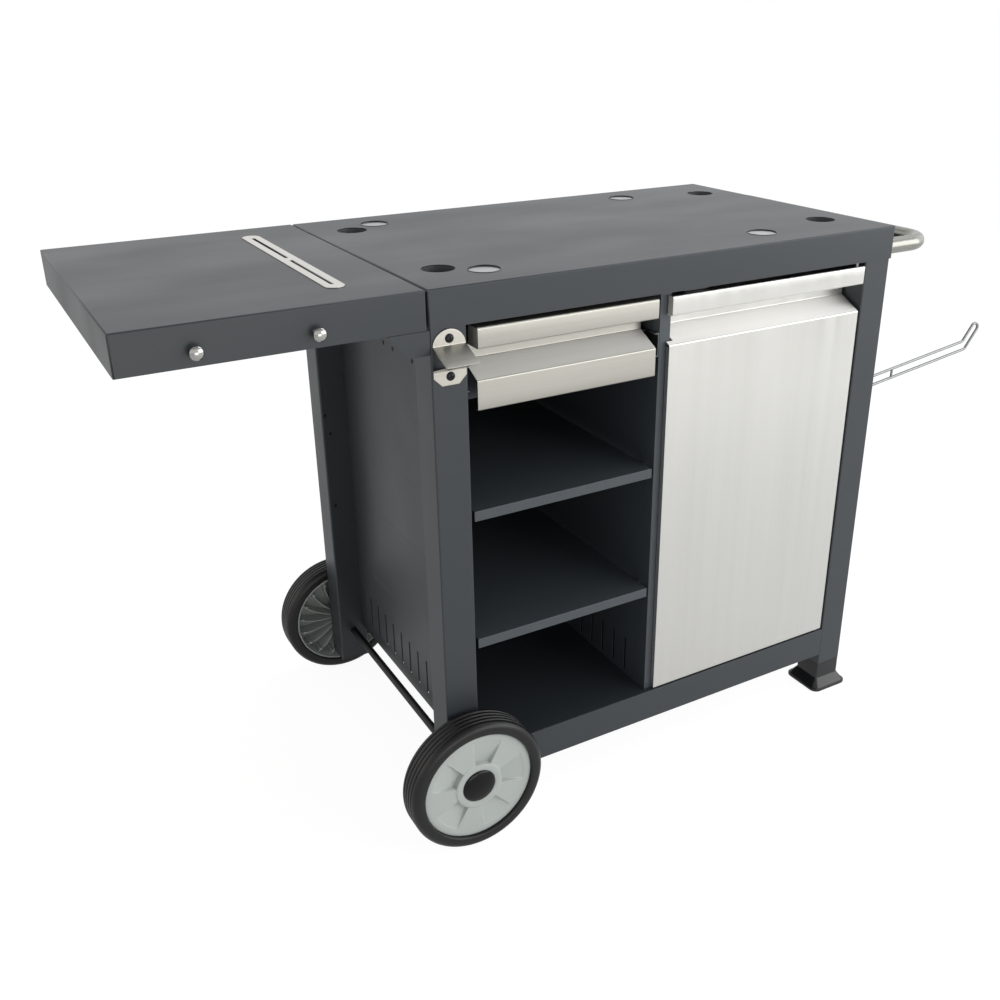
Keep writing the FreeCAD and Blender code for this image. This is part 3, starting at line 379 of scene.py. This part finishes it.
def new_tree(name, **inputs):
    """An empty Geometry Nodes tree with a geometry input, these named inputs and a finish."""
    tree = bpy.data.node_groups.new(name, "GeometryNodeTree")
    for label, kind in {"Geometry": "Geometry", **inputs, "Finish": "Material"}.items():
        tree.interface.new_socket(label.replace("_", " "), in_out="INPUT", socket_type="NodeSocket" + kind)
    tree.interface.new_socket("Geometry", in_out="OUTPUT", socket_type="NodeSocketGeometry")
    return tree, add(tree, "NodeGroupInput").outputs


def end_tree(tree, shape, given):
    """Ends a tree in Realize Instances and Set Material."""
    real = add(tree, "GeometryNodeRealizeInstances", {0: shape})
    dressed = add(tree, "GeometryNodeSetMaterial", {"Geometry": real.outputs[0], "Material": given["Finish"]})
    add(tree, "NodeGroupOutput", {0: dressed.outputs[0]})
    return tree


def round_axle_tree():
    """Copies a seed round an axle that lies along Y."""
    tree, given = new_tree("round_the_axle", Count="Int", Axle="Vector")
    spots = add(tree, "GeometryNodePoints", {"Count": given["Count"], "Position": given["Axle"]})
    step = add(tree, "ShaderNodeMath", {0: FULL_TURN, 1: given["Count"]}, operation="DIVIDE")
    number = add(tree, "GeometryNodeInputIndex")
    angle = add(tree, "ShaderNodeMath", {0: number.outputs[0], 1: step.outputs[0]}, operation="MULTIPLY")
    about_y = add(tree, "ShaderNodeCombineXYZ", {"Y": angle.outputs[0]})
    turn = add(tree, "FunctionNodeEulerToRotation", {0: about_y.outputs[0]})
    copies = add(tree, "GeometryNodeInstanceOnPoints", {"Points": spots.outputs[0],
                                                        "Instance": given["Geometry"],
                                                        "Rotation": turn.outputs[0]})
    return end_tree(tree, copies.outputs[0], given)


def screw_tree():
    """A pan head with a cross recess on every seat point."""
    tree, given = new_tree("cross_head_screws", Head_Radius="Float", Head_Height="Float",
                           Cross_Length="Float", Cross_Width="Float", Cross_Depth="Float", Facing="Vector")
    ball = add(tree, "GeometryNodeMeshUVSphere", {"Segments": 28, "Rings": 16, "Radius": 1.0})
    size = add(tree, "ShaderNodeCombineXYZ", {"X": given["Head Radius"], "Y": given["Head Radius"],
                                              "Z": given["Head Height"]})
    dome = add(tree, "GeometryNodeTransform", {"Geometry": ball.outputs[0], "Scale": size.outputs[0]})
    span = add(tree, "ShaderNodeMath", {0: given["Head Radius"], 1: 4.0}, operation="MULTIPLY")
    under = add(tree, "GeometryNodeMeshCube", {"Size": add(tree, "ShaderNodeCombineXYZ", {
        "X": span.outputs[0], "Y": span.outputs[0], "Z": span.outputs[0]}).outputs[0]})
    half = add(tree, "ShaderNodeMath", {0: span.outputs[0], 1: -0.5}, operation="MULTIPLY")
    sunk = add(tree, "GeometryNodeTransform", {"Geometry": under.outputs[0], "Translation": add(
        tree, "ShaderNodeCombineXYZ", {"Z": half.outputs[0]}).outputs[0]})
    deep = add(tree, "ShaderNodeMath", {0: given["Cross Depth"], 1: 2.0}, operation="MULTIPLY")
    raised = add(tree, "ShaderNodeCombineXYZ", {"Z": given["Head Height"]})
    cutters = [sunk.outputs[0]]
    for first, second in (("Cross Length", "Cross Width"), ("Cross Width", "Cross Length")):
        bar_size = add(tree, "ShaderNodeCombineXYZ", {"X": given[first], "Y": given[second],
                                                      "Z": deep.outputs[0]})
        bar = add(tree, "GeometryNodeMeshCube", {"Size": bar_size.outputs[0]})
        cutters.append(add(tree, "GeometryNodeTransform", {"Geometry": bar.outputs[0],
                                                           "Translation": raised.outputs[0]}).outputs[0])
    head = add(tree, "GeometryNodeMeshBoolean", {"Mesh 1": dome.outputs[0], "Mesh 2": cutters},
               operation="DIFFERENCE", solver="EXACT")
    turn = add(tree, "FunctionNodeEulerToRotation", {0: given["Facing"]})
    heads = add(tree, "GeometryNodeInstanceOnPoints", {"Points": given["Geometry"],
                                                       "Instance": head.outputs[0],
                                                       "Rotation": turn.outputs[0]})
    return end_tree(tree, heads.outputs[0], given)


def rod_tree():
    """A round rod along every path, with its corners bent to a radius."""
    tree, given = new_tree("rods_on_paths", Rod_Radius="Float", Bend_Radius="Float")
    path = add(tree, "GeometryNodeMeshToCurve", {"Mesh": given["Geometry"]})
    bent = add(tree, "GeometryNodeFilletCurve", {"Curve": path.outputs[0], "Radius": given["Bend Radius"],
                                                 "Count": 14, "Limit Radius": True}, mode="POLY")
    ring = add(tree, "GeometryNodeCurvePrimitiveCircle", {"Resolution": 32, "Radius": given["Rod Radius"]})
    rod = add(tree, "GeometryNodeCurveToMesh", {"Curve": bent.outputs[0], "Profile Curve": ring.outputs[0],
                                                "Fill Caps": True})
    return end_tree(tree, rod.outputs[0], given)


def grown(piece, tree, material, **values):
    """Runs a tree on a seed piece and leaves the result in it as a plain mesh."""
    values["Finish"] = material
    run = piece.modifiers.new("grow", "NODES")
    run.node_group = tree
    for socket in tree.interface.items_tree:
        label = socket.name.replace(" ", "_")
        if socket.in_out == "INPUT" and label in values:
            run[socket.identifier] = values[label]
    return plain_mesh(piece)


ROUND_AXLE = round_axle_tree()
SCREWS = screw_tree()
RODS = rod_tree()


# Folded stainless fronts: a top strip, an open finger trough, a sloping floor and a flat face

# Millimetres: depths run back from the strip's front, heights and the slope's ends down from its top
SKIN = 1.2
FOLD_RADIUS = 2.2
STRIP_DEPTH = 28.0
STRIP_HEIGHT = 28.0
STRIP_LIP = 3.0
TROUGH_DEPTH = 42.0
SLOPE_TOP = 51.0
SLOPE_FOOT = 70.5
FACE_DEPTH = 4.0
HEM_DEPTH = 12.0
NOTCH_DEPTH = 11.5
NOTCH_FOOT = 75.0


def shifted(points, distance):
    """An open path moved to its left, with its corners kept sharp."""
    runs = [(b - a).normalized() for a, b in zip(points, points[1:])]
    lefts = [Vector((-run.y, run.x)) for run in runs]
    moved = [points[0] + lefts[0] * distance]
    for before, after, point in zip(lefts, lefts[1:], points[1:-1]):
        middle = (before + after).normalized()
        moved.append(point + middle * (distance / middle.dot(after)))
    return moved + [points[-1] + lefts[-1] * distance]


def rounded(points, radius, steps=6):
    """An open path with its corners turned into arcs."""
    out = [points[0]]
    for before, corner, after in zip(points, points[1:], points[2:]):
        back = (before - corner).normalized()
        ahead = (after - corner).normalized()
        half = back.angle(ahead) / 2
        if half > 1.5:
            out.append(corner)
            continue
        reach = radius / math.tan(half)
        centre = corner + (back + ahead).normalized() * (radius / math.sin(half))
        start = corner + back * reach - centre
        sweep = start.angle_signed(corner + ahead * reach - centre)
        for k in range(steps + 1):
            out.append(centre + Matrix.Rotation(-sweep * k / steps, 2) @ start)
    return out + [points[-1]]


def folded_front(name, node, face, front, finish, trough, notch=0.0):
    """A front folded from one sheet along X, with end plates in its strip; a notch frees its left end."""
    low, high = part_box(node)
    top = high.z / MM
    base = -SLOPE_FOOT - face
    fall = (SLOPE_FOOT - SLOPE_TOP) * (TROUGH_DEPTH - NOTCH_DEPTH) / (TROUGH_DEPTH - FACE_DEPTH)
    outside = [(STRIP_DEPTH, 0), (NOTCH_DEPTH, 0), (0, 0), (0, -STRIP_HEIGHT), (NOTCH_DEPTH, -STRIP_HEIGHT),
               (TROUGH_DEPTH, -STRIP_HEIGHT), (TROUGH_DEPTH, -SLOPE_TOP), (NOTCH_DEPTH, -SLOPE_TOP - fall),
               (FACE_DEPTH, -SLOPE_FOOT), (FACE_DEPTH, base), (HEM_DEPTH, base)]
    middle = rounded(shifted([Vector(p) for p in outside], SKIN / 2), FOLD_RADIUS)
    sides = [shifted(middle, -SKIN / 2), shifted(middle, SKIN / 2)]
    stations = [low.x, low.x + notch * MM, high.x] if notch else [low.x, high.x]
    verts = []
    for x in stations:
        for points in zip(*sides):
            for point in points:
                spot = at(0, front + point.x, top + point.y)
                verts.append(Vector((x, spot.y, spot.z)))
    cells = set()
    for s in range(len(stations) - 1):
        for i in range(len(middle) - 1):
            centre = (middle[i] + middle[i + 1]) / 2
            if not (notch and s == 0 and centre.x > NOTCH_DEPTH and centre.y > -NOTCH_FOOT):
                cells.add((s, i))
    count = len(middle)

    def corner(s, i, k):
        return (s * count + i) * 2 + k

    faces = []
    for s, i in cells:
        for k in (0, 1):
            faces.append((corner(s, i, k), corner(s + 1, i, k), corner(s + 1, i + 1, k), corner(s, i + 1, k)))
        for ds, di, a, b in ((-1, 0, (0, 0), (0, 1)), (1, 0, (1, 0), (1, 1)), (0, -1, (0, 0), (1, 0)),
                             (0, 1, (0, 1), (1, 1))):
            if (s + ds, i + di) not in cells:
                faces.append((corner(s + a[0], i + a[1], 0), corner(s + b[0], i + b[1], 0),
                              corner(s + b[0], i + b[1], 1), corner(s + a[0], i + a[1], 1)))
    sheet = new_piece(name, verts, [], faces, finish)
    sheet.data.materials.append(trough)
    # The strip's underside and the slope take the trough finish, whose lighter colour is painted light in
    # these shaded folds
    for side in sheet.data.polygons:
        depth = (side.center.y - low.y) / MM
        drop = top - side.center.z / MM
        under_strip = abs(drop - STRIP_HEIGHT) < SKIN and depth > STRIP_LIP
        on_slope = SLOPE_TOP + 0.5 < drop < SLOPE_FOOT - 1.0
        side.material_index = int(under_strip or on_slope)
    plates = []
    for x, depth in ((low.x, NOTCH_DEPTH if notch else STRIP_DEPTH), (high.x - SKIN * MM, STRIP_DEPTH)):
        near = at(0, front + SKIN, top - STRIP_HEIGHT + SKIN)
        far = at(0, front + depth, top - SKIN)
        plates.append(block(Vector((x, near.y, near.z)), Vector((x + SKIN * MM, far.y, far.z))))
    verts, faces = several(plates)
    ends = new_piece(name + "_ends", verts, [], faces, lightened_mill_steel)
    body = node.split("_")[0]
    finish_piece(sheet, body, [node], 25)
    finish_piece(ends, body)


folded_front("drawer_sheet", "drawer_front", face=41.0, front=-3.0, finish=drawer_steel, trough=drawer_trough)
folded_front("door_sheet", "door_skin", face=573.0, front=-2.0, finish=door_steel, trough=door_trough,
             notch=11.0)


# Wheels: all heights run outwards from the tyre's inner side

GROOVES = 4
GROOVE_PITCH = 7.6
TYRE_WIDTH = 47.0
TYRE_RADIUS = 105.0
HUB_RADIUS = 86.0


def tyre_profile():
    """Flat sidewalls, wide round shoulders and round-bottomed grooves."""
    inner = [(3.0, HUB_RADIUS), (1.2, 86.6), (0.3, 88.0), (0.0, 89.6), (0.0, 95.4), (0.35, 97.6), (1.2, 99.6),
             (2.6, 101.5), (4.4, 103.1), (6.4, 104.2), (8.4, 104.8)]
    tread = []
    for i in range(GROOVES):
        middle = TYRE_WIDTH / 2 + GROOVE_PITCH * (i - (GROOVES - 1) / 2)
        for offset, drop in ((-2.2, 0.0), (-1.5, 0.3), (-1.15, 1.1), (-0.8, 2.0), (0.0, 2.3), (0.8, 2.0),
                             (1.15, 1.1), (1.5, 0.3), (2.2, 0.0)):
            tread.append((middle + offset, TYRE_RADIUS - drop))
    outer = [(TYRE_WIDTH - height, radius) for height, radius in reversed(inner)]
    return inner + tread + outer


PADS = 5
PAD_SHARE = 34.0 / 72.0
RING = 36.6
RING_FACE = 43.0
PAD_FACE = 41.6
POCKET_END = 75.0
POCKET_DEPTH = 7.0
RIBS = 18
RIB_FOOT = 32.6
CAP_RADIUS = 25.7
CAP_SEAT = 37.2
CAP_EDGE = 42.4
CAP_RISE = 5.6


def ease(value):
    """A smooth step from 0 to 1."""
    value = min(max(value, 0.0), 1.0)
    return value * value * (3 - 2 * value)


def hub_face(radius, share):
    """Height of the hub's front at a radius, and at a share of one pad and pocket."""
    ring = RING_FACE - 0.5 * ease((28.4 - radius) / 1.6) - 0.6 * ease((radius - 35.0) / 1.6)
    inside = ease((share - PAD_SHARE / 2) / 0.03) * ease((1 - PAD_SHARE / 2 - share) / 0.03)
    depth = 0.5 + POCKET_DEPTH * (POCKET_END - radius) / (POCKET_END - RING)
    pocket = inside * ease((POCKET_END - radius) / 1.6) * max(depth, 0.0)
    outside = PAD_FACE - pocket - ease((radius - 84.6) / 1.5)
    return ring + (outside - ring) * ease((radius - RING) / 1.5)


def hub_sector(out, first):
    """One pad and pocket of the hub, with the rim, barrel, web and boss behind it, about the axle."""
    front = [26.2, 26.8, 27.6, 28.4, 32.0, 34.8, 35.4, 36.0, 36.6, 37.0, 37.4, 37.8, 38.2, 40.0, 44.0, 48.0,
             52.0, 56.0, 60.0, 65.0, 70.0, 73.2, 73.8, 74.4, 75.0, 80.0, 84.4, 85.0, 85.5, 86.0]
    back = [(39.0, HUB_RADIUS), (2.6, HUB_RADIUS), (2.0, 85.3), (2.0, 83.4), (2.6, 82.8), (31.0, 80.0),
            (32.0, 79.0), (32.0, 17.0), (31.0, 16.0), (0.8, 16.0), (0.0, 15.2), (0.0, 6.1), (37.0, 6.1),
            (37.0, 26.0)]
    half = [0.0, 0.06, 0.12, 0.18, 0.225, 0.236, 0.242, 0.248, 0.254, 0.26, 0.266, 0.275, 0.3, 0.35, 0.42]
    shares = half + [0.5] + [1 - share for share in reversed(half)]
    rows = []
    for share in shares:
        angle = FULL_TURN / PADS * share + math.radians(first)
        loop = [(hub_face(r, share), r) for r in front] + back
        rows.append([Vector((r * math.cos(angle), out * h, -r * math.sin(angle))) * MM for h, r in loop])
    count = len(rows[0])
    verts = [point for row in rows for point in row]
    faces = []
    for j in range(len(shares) - 1):
        for i in range(count):
            n = (i + 1) % count
            faces.append((j * count + i, j * count + n, (j + 1) * count + n, (j + 1) * count + i))
    return verts, faces


def swept_rib(out, root, end, sweep, low, high, thick):
    """A slightly curved rib on the back of the hub web."""
    steps = 10
    verts = []
    for j in range(steps + 1):
        t = j / steps
        radius = root + (end - root) * t
        angle = sweep * t * t
        radial = Vector((math.cos(angle), 0, -math.sin(angle)))
        side = Vector((math.sin(angle), 0, math.cos(angle)))
        for s in (-thick / 2, thick / 2):
            for h in (low, high):
                verts.append((radial * radius + side * s + Vector((0, out * h, 0))) * MM)
    faces = [(0, 1, 3, 2), tuple(4 * steps + i for i in (0, 2, 3, 1))]
    for j in range(steps):
        a, b = 4 * j, 4 * (j + 1)
        faces += [(a, b, b + 1, a + 1), (a + 2, a + 3, b + 3, b + 2), (a, a + 2, b + 2, b),
                  (a + 1, b + 1, b + 3, a + 3)]
    return verts, faces


for side, out, first in (("front", -1, 30.5), ("rear", 1, 5.5)):
    body = side + "_wheel"
    low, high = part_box(side + "_tyre")
    axle = Vector(((low.x + high.x) / 2, high.y if out < 0 else low.y, (low.z + high.z) / 2))
    along = Vector((0, out, 0))
    verts, faces = turned(tyre_profile(), axle, along, True, 144)
    tyre = new_piece(side + "_tyre_grooved", verts, [], faces, rubber)
    finish_piece(tyre, body, [side + "_tyre"], 50)
    verts, faces = hub_sector(out, first)
    hub = new_piece(side + "_hub_moulded", verts, [], faces)
    grown(hub, ROUND_AXLE, hub_plastic, Count=PADS, Axle=axle)
    finish_piece(hub, body, [side + "_hub"], 45)
    rib = swept_rib(out, root=15.0, end=80.5, sweep=math.radians(9), low=7.0, high=RIB_FOOT, thick=1.6)
    post = turned([(5.0, 0.0), (5.0, 1.8), (5.5, 2.3), (RIB_FOOT, 2.7), (RIB_FOOT, 0.0)],
                  Vector((73.6 * MM, 0, -10.6 * MM)), along, steps=16)
    verts, faces = several([rib, post])
    ribs = new_piece(side + "_hub_ribs", verts, [], faces)
    grown(ribs, ROUND_AXLE, hub_plastic, Count=RIBS, Axle=axle)
    finish_piece(ribs, body)
    dome = [(CAP_SEAT, 0.0), (CAP_SEAT, CAP_RADIUS), (CAP_EDGE, CAP_RADIUS)]
    for k in range(1, 15):
        angle = math.radians(6 * k)
        dome.append((CAP_EDGE + CAP_RISE * math.sin(angle), CAP_RADIUS * math.cos(angle)))
    verts, faces = turned(dome + [(CAP_EDGE + CAP_RISE, 0.0)], axle, along)
    cap = new_piece(side + "_cap_domed", verts, [], faces, cap_plastic)
    finish_piece(cap, body, [side + "_cap"])


# Feet: a flared base with round corners, a sleeve, and a plug inside the leg

def lofted(sections, centre, steps=8):
    """A closed form through round-cornered squares of (height, half width, corner radius)."""
    count = 4 * (steps + 1)
    verts = []
    for height, half, radius in sections:
        for k in range(count):
            quarter, step = divmod(k, steps + 1)
            angle = QUARTER * (quarter + step / steps)
            x = half - radius if quarter in (0, 3) else radius - half
            y = half - radius if quarter in (0, 1) else radius - half
            spot = Vector((x + radius * math.cos(angle), y + radius * math.sin(angle), height))
            verts.append(centre + spot * MM)
    faces = [tuple(range(count)), tuple(range(len(verts) - count, len(verts)))]
    for i in range(len(sections) - 1):
        for k in range(count):
            n = (k + 1) % count
            faces.append((i * count + k, i * count + n, (i + 1) * count + n, (i + 1) * count + k))
    return verts, faces


FOOT = [(0.0, 37.4, 12.0), (0.4, 38.1, 12.7), (1.2, 38.5, 13.0), (4.2, 38.5, 13.0), (4.8, 38.2, 12.8),
        (5.1, 37.4, 12.4), (5.6, 36.0, 11.5), (19.0, 26.0, 4.0), (19.8, 25.3, 3.3), (21.0, 25.0, 3.0),
        (50.0, 25.0, 3.0), (50.7, 24.8, 2.8), (51.0, 24.3, 2.4), (51.0, 23.0, 2.0), (76.0, 22.7, 2.0)]
for side in ("front", "rear"):
    low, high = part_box("foot_" + side)
    verts, faces = lofted(FOOT, Vector(((low.x + high.x) / 2, (low.y + high.y) / 2, 0.0)))
    foot = new_piece("foot_%s_moulded" % side, verts, [], faces, black_plastic)
    finish_piece(foot, "cart", ["foot_" + side], 30)


# Hook knobs: turned mushroom heads on short necks

KNOB_Z = 793
knob = [(0.0, 0.0), (0.0, 5.2), (1.0, 5.2), (1.4, 4.6), (2.4, 4.2), (5.6, 4.2), (6.8, 5.0), (7.6, 7.0),
        (8.3, 8.0), (9.3, 8.5), (10.5, 8.5), (11.9, 7.9), (13.2, 6.4), (14.2, 4.2), (14.7, 2.0), (14.8, 0.0)]
verts, faces = several([turned(knob, at(x, 0, KNOB_Z), Vector((0, -1, 0)), steps=40) for x in (-140, -280)])
finish_piece(new_piece("hook_knobs_turned", verts, [], faces, chrome), "side_shelf", ["hook_knobs"])


# Push handle and paper towel wire: rods bent along their paths

def path_piece(name, *paths):
    """A seed with a path through each list of points."""
    verts, edges = [], []
    for points in paths:
        start = len(verts)
        verts += points
        edges += [(start + i, start + i + 1) for i in range(len(points) - 1)]
    return new_piece(name, verts, edges)


HANDLE_Z = 790
handle_turns = [(787, 17), (879, 17), (879, 483), (787, 483)]
bar = path_piece("push_handle_tube", [at(x, y, HANDLE_Z) for x, y in handle_turns])
grown(bar, RODS, tube_steel, Rod_Radius=12.5 * MM, Bend_Radius=40 * MM)
finish_piece(bar, "cart", ["handle"])

WIRE_REACH = 338.0
RUNG_REACH = 158.0
WIRE_PITCH = 16.0
WIRE_Y = 70
ROOT = Vector((742.0, 522.0))
KNEE = ROOT + Vector((WIRE_REACH, 44.0))
TIP = KNEE + Vector((24.0, 32.0))
tip_run = (TIP - KNEE).normalized()
tip_side = Vector((-tip_run.y, tip_run.x))
low_run = (KNEE - ROOT).normalized()
low_side = Vector((-low_run.y, low_run.x))
half_way = (tip_side + low_side).normalized()
crest = tip_run * WIRE_PITCH / 2
hairpin = [ROOT, KNEE, TIP + crest, TIP + crest + tip_side * WIRE_PITCH,
           KNEE + half_way * WIRE_PITCH / half_way.dot(tip_side), ROOT + Vector((0, WIRE_PITCH / low_run.x))]
wire = path_piece("towel_wire_bent", [at(p.x, WIRE_Y, p.y) for p in hairpin])
grown(wire, RODS, wire_plate, Rod_Radius=2.5 * MM, Bend_Radius=7.8 * MM)
finish_piece(wire, "cart", ["towel_wire"])
rung = ROOT + (KNEE - ROOT) * (RUNG_REACH / WIRE_REACH)
cross = path_piece("cross_wire", [at(rung.x, WIRE_Y, rung.y), at(rung.x, WIRE_Y, rung.y + WIRE_PITCH)])
grown(cross, RODS, wire_plate, Rod_Radius=2.0 * MM, Bend_Radius=0.0)
finish_piece(cross, "cart")


# Screws

HEAD = {"Head_Radius": 6.0 * MM, "Head_Height": 3.0 * MM, "Cross_Length": 7.0 * MM, "Cross_Width": 1.5 * MM,
        "Cross_Depth": 1.7 * MM}
opener_heads = new_piece("opener_cross_screws", [at(27, 0, 761.4), at(27, 0, 712.4)])
grown(opener_heads, SCREWS, black_steel, Facing=(QUARTER, 0, 0), **HEAD)
finish_piece(opener_heads, "cart", ["opener_screws"])
SEAT_INSET = 11 * MM
low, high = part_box("towel_bracket")
seats = [Vector((high.x, (low.y + high.y) / 2, z)) for z in (low.z + SEAT_INSET, high.z - SEAT_INSET)]
towel_heads = new_piece("towel_cross_screws", seats)
grown(towel_heads, SCREWS, black_steel, Facing=(0, QUARTER, 0), **HEAD)
finish_piece(towel_heads, "cart", ["towel_screws"])


# Small fittings: rivets of the drawer runner and rear leg, shelf studs, and black rings of painted shade
# round the blanking discs

def rivets(name, spots, along, radius, height, finish):
    """Low round heads at places on the cart."""
    head = [(-0.5, 0.0), (-0.5, radius), (height * 0.6, radius), (height, radius * 0.7), (height, 0.0)]
    verts, faces = several([turned(head, at(*spot), Vector(along), steps=20) for spot in spots])
    finish_piece(new_piece(name, verts, [], faces, finish), "cart")


rivets("runner_rivets", [(45, 265, 686), (45, 231, 685), (45, 163, 685)], (-1, 0, 0), 3.4, 0.9, black_steel)
rivets("leg_rivets", [(7, 448, 521), (14, 448, 488), (12, 448, 357)], (0, -1, 0), 3.0, 0.9, black_steel)
rivets("shelf_studs", [(346, 159, 514), (300, 180, 314)], (0, 0, 1), 1.8, 1.2, zinc)
# Painted shade: a black ring put round each blanking disc, where the gap between disc and hole lies in shadow
SHADOW_RING_RADIUS = 22.3
SHADOW_RING_WIRE = 0.8
SHADOW_RING_SIDES = 8
SHADOW_RING_Z = 824.9
shadow_ring = []
for k in range(SHADOW_RING_SIDES):
    angle = FULL_TURN * k / SHADOW_RING_SIDES
    shadow_ring.append((SHADOW_RING_WIRE * math.sin(angle), SHADOW_RING_RADIUS + SHADOW_RING_WIRE * math.cos(angle)))
verts, faces = several([turned(shadow_ring, at(x, y, SHADOW_RING_Z), Vector((0, 0, 1)), True, 48)
                        for x in (111, 576) for y in (65, 435)])
finish_piece(new_piece("disc_seals", verts, [], faces, black_plastic), "cart")

# Stiffening beads pressed in the left panel
PANEL_X = 46
bead_runs = [(175, 300, 620), (192, 390, 491), (136, 320, 382), (265, 390, 246)]
beads = path_piece("panel_beads", *[[at(PANEL_X, start, z), at(PANEL_X, end, z)]
                                    for start, end, z in bead_runs])
grown(beads, RODS, coat, Rod_Radius=1.25 * MM, Bend_Radius=0.0)
finish_piece(beads, "cart")

# Painted welds that fill the round corners of the legs at the ends of the bottom rails
RAIL_BOTTOM = 71
RAIL_TOP = 123
rail_ends = [(x, y) for x in (51.7, 733.3) for y in (3.3, 496.7)]
welds = path_piece("rail_welds", *[[at(x, y, RAIL_BOTTOM), at(x, y, RAIL_TOP)] for x, y in rail_ends])
grown(welds, RODS, coat, Rod_Radius=1.2 * MM, Bend_Radius=0.0)
finish_piece(welds, "cart")


# Camera at the photograph's viewing angle

RIGHT = Vector((0.8676236, -0.4971813, -0.0063277))
DOWN = Vector((-0.2066486, -0.3489860, -0.9140597))
FORWARD = Vector((0.4522451, 0.7943674, -0.4055303))
STAND = Vector((-0.893254, -1.413649, 1.134600))
lens = bpy.data.cameras.new("photo_view")
lens.sensor_width = 36
lens.lens = 38.754
lens.shift_x = -0.02964
lens.shift_y = -0.01657
lens.clip_end = 300
camera = bpy.data.objects.new("photo_view", lens)
turn = Matrix((RIGHT, -DOWN, -FORWARD)).transposed().to_4x4()
camera.matrix_world = Matrix.Translation(STAND) @ turn
scene.collection.objects.link(camera)
scene.camera = camera


# Studio: white sweep, soft boxes, and a ceiling that is darker than the walls

def seen_ray(tree, direct=1.0, mirrored=1.0):
    """Share of the backdrop in rays from the camera, and in rays by gloss or through glass."""
    path = add(tree, "ShaderNodeLightPath").outputs
    mirror = add(tree, "ShaderNodeMath", {0: path["Is Glossy Ray"], 1: path["Is Transmission Ray"]},
                 operation="MAXIMUM")
    second = add(tree, "ShaderNodeMath", {0: mirror.outputs[0], 1: mirrored}, operation="MULTIPLY")
    first = add(tree, "ShaderNodeMath", {0: path["Is Camera Ray"], 1: direct}, operation="MULTIPLY")
    return add(tree, "ShaderNodeMath", {0: first.outputs[0], 1: second.outputs[0]},
               operation="MAXIMUM").outputs[0]


world = bpy.data.worlds.new("studio")
scene.world = world
world.use_nodes = True
tree = world.node_tree
tree.nodes.clear()
way = add(tree, "ShaderNodeTexCoord").outputs["Generated"]
height = add(tree, "ShaderNodeSeparateXYZ", {0: way}).outputs["Z"]
ceiling = add(tree, "ShaderNodeMapRange", {"Value": height, "From Min": 0.5, "From Max": 0.9, "To Min": 1.0,
                                           "To Max": 0.42})
backdrop = add(tree, "ShaderNodeBackground", {"Color": linear("#ffffff"), "Strength": ceiling.outputs[0]})
fill = add(tree, "ShaderNodeBackground", {"Color": linear("#f4f6f8"), "Strength": 0.42})
mix = add(tree, "ShaderNodeMixShader", {0: seen_ray(tree), 1: fill.outputs[0], 2: backdrop.outputs[0]})
add(tree, "ShaderNodeOutputWorld", {"Surface": mix.outputs[0]})

sweep = bpy.data.materials.new("white_studio_floor")
sweep.use_nodes = True
tree = sweep.node_tree
tree.nodes.clear()
matt = add(tree, "ShaderNodeBsdfDiffuse", {"Color": linear("#eeeeee")})
glow = add(tree, "ShaderNodeEmission", {"Color": linear("#ffffff"), "Strength": 1.17})
shown = seen_ray(tree, direct=0.8, mirrored=0.4)
mix = add(tree, "ShaderNodeMixShader", {0: shown, 1: matt.outputs[0], 2: glow.outputs[0]})
add(tree, "ShaderNodeOutputMaterial", {"Surface": mix.outputs[0]})
FLOOR = 120.0
floor = new_piece("studio_floor", [(-FLOOR, -FLOOR, 0), (FLOOR, -FLOOR, 0), (FLOOR, FLOOR, 0),
                                   (-FLOOR, FLOOR, 0)], [], [(0, 1, 2, 3)], sweep)


def soft_box(name, place, aim, width, height, power, tint):
    """A rectangular soft box that points at a place."""
    lamp = bpy.data.lights.new(name, "AREA")
    lamp.shape = "RECTANGLE"
    lamp.size = width
    lamp.size_y = height
    lamp.energy = power
    lamp.color = linear(tint)[:3]
    box = bpy.data.objects.new(name, lamp)
    turn = (Vector(aim) - Vector(place)).to_track_quat("-Z", "Y").to_matrix().to_4x4()
    box.matrix_world = Matrix.Translation(place) @ turn
    scene.collection.objects.link(box)


# Places, aims, widths and heights in metres, power in watts
soft_box("right_wall", (2.6, -0.6, 1.3), (0.2, -0.4, 0.7), 2.4, 2.2, 10.0, "#f3f8ff")
soft_box("key_box", (2.2, -2.55, 1.45), (0.1, -0.3, 0.6), 3.6, 2.2, 60.0, "#ffffff")
soft_box("front_fill", (-0.45, -2.6, 0.45), (-0.15, 0.1, 0.35), 1.4, 0.8, 8.0, "#fffaf2")
soft_box("ceiling_box", (1.4, 0.3, 2.6), (1.4, 0.3, 0.0), 1.8, 2.0, 20.0, "#f6faff")
soft_box("left_box", (-2.8, 0.6, 1.2), (0, 0.2, 0.4), 1.6, 1.6, 7.0, "#ffe6c6")

scene.view_settings.view_transform = "Standard"
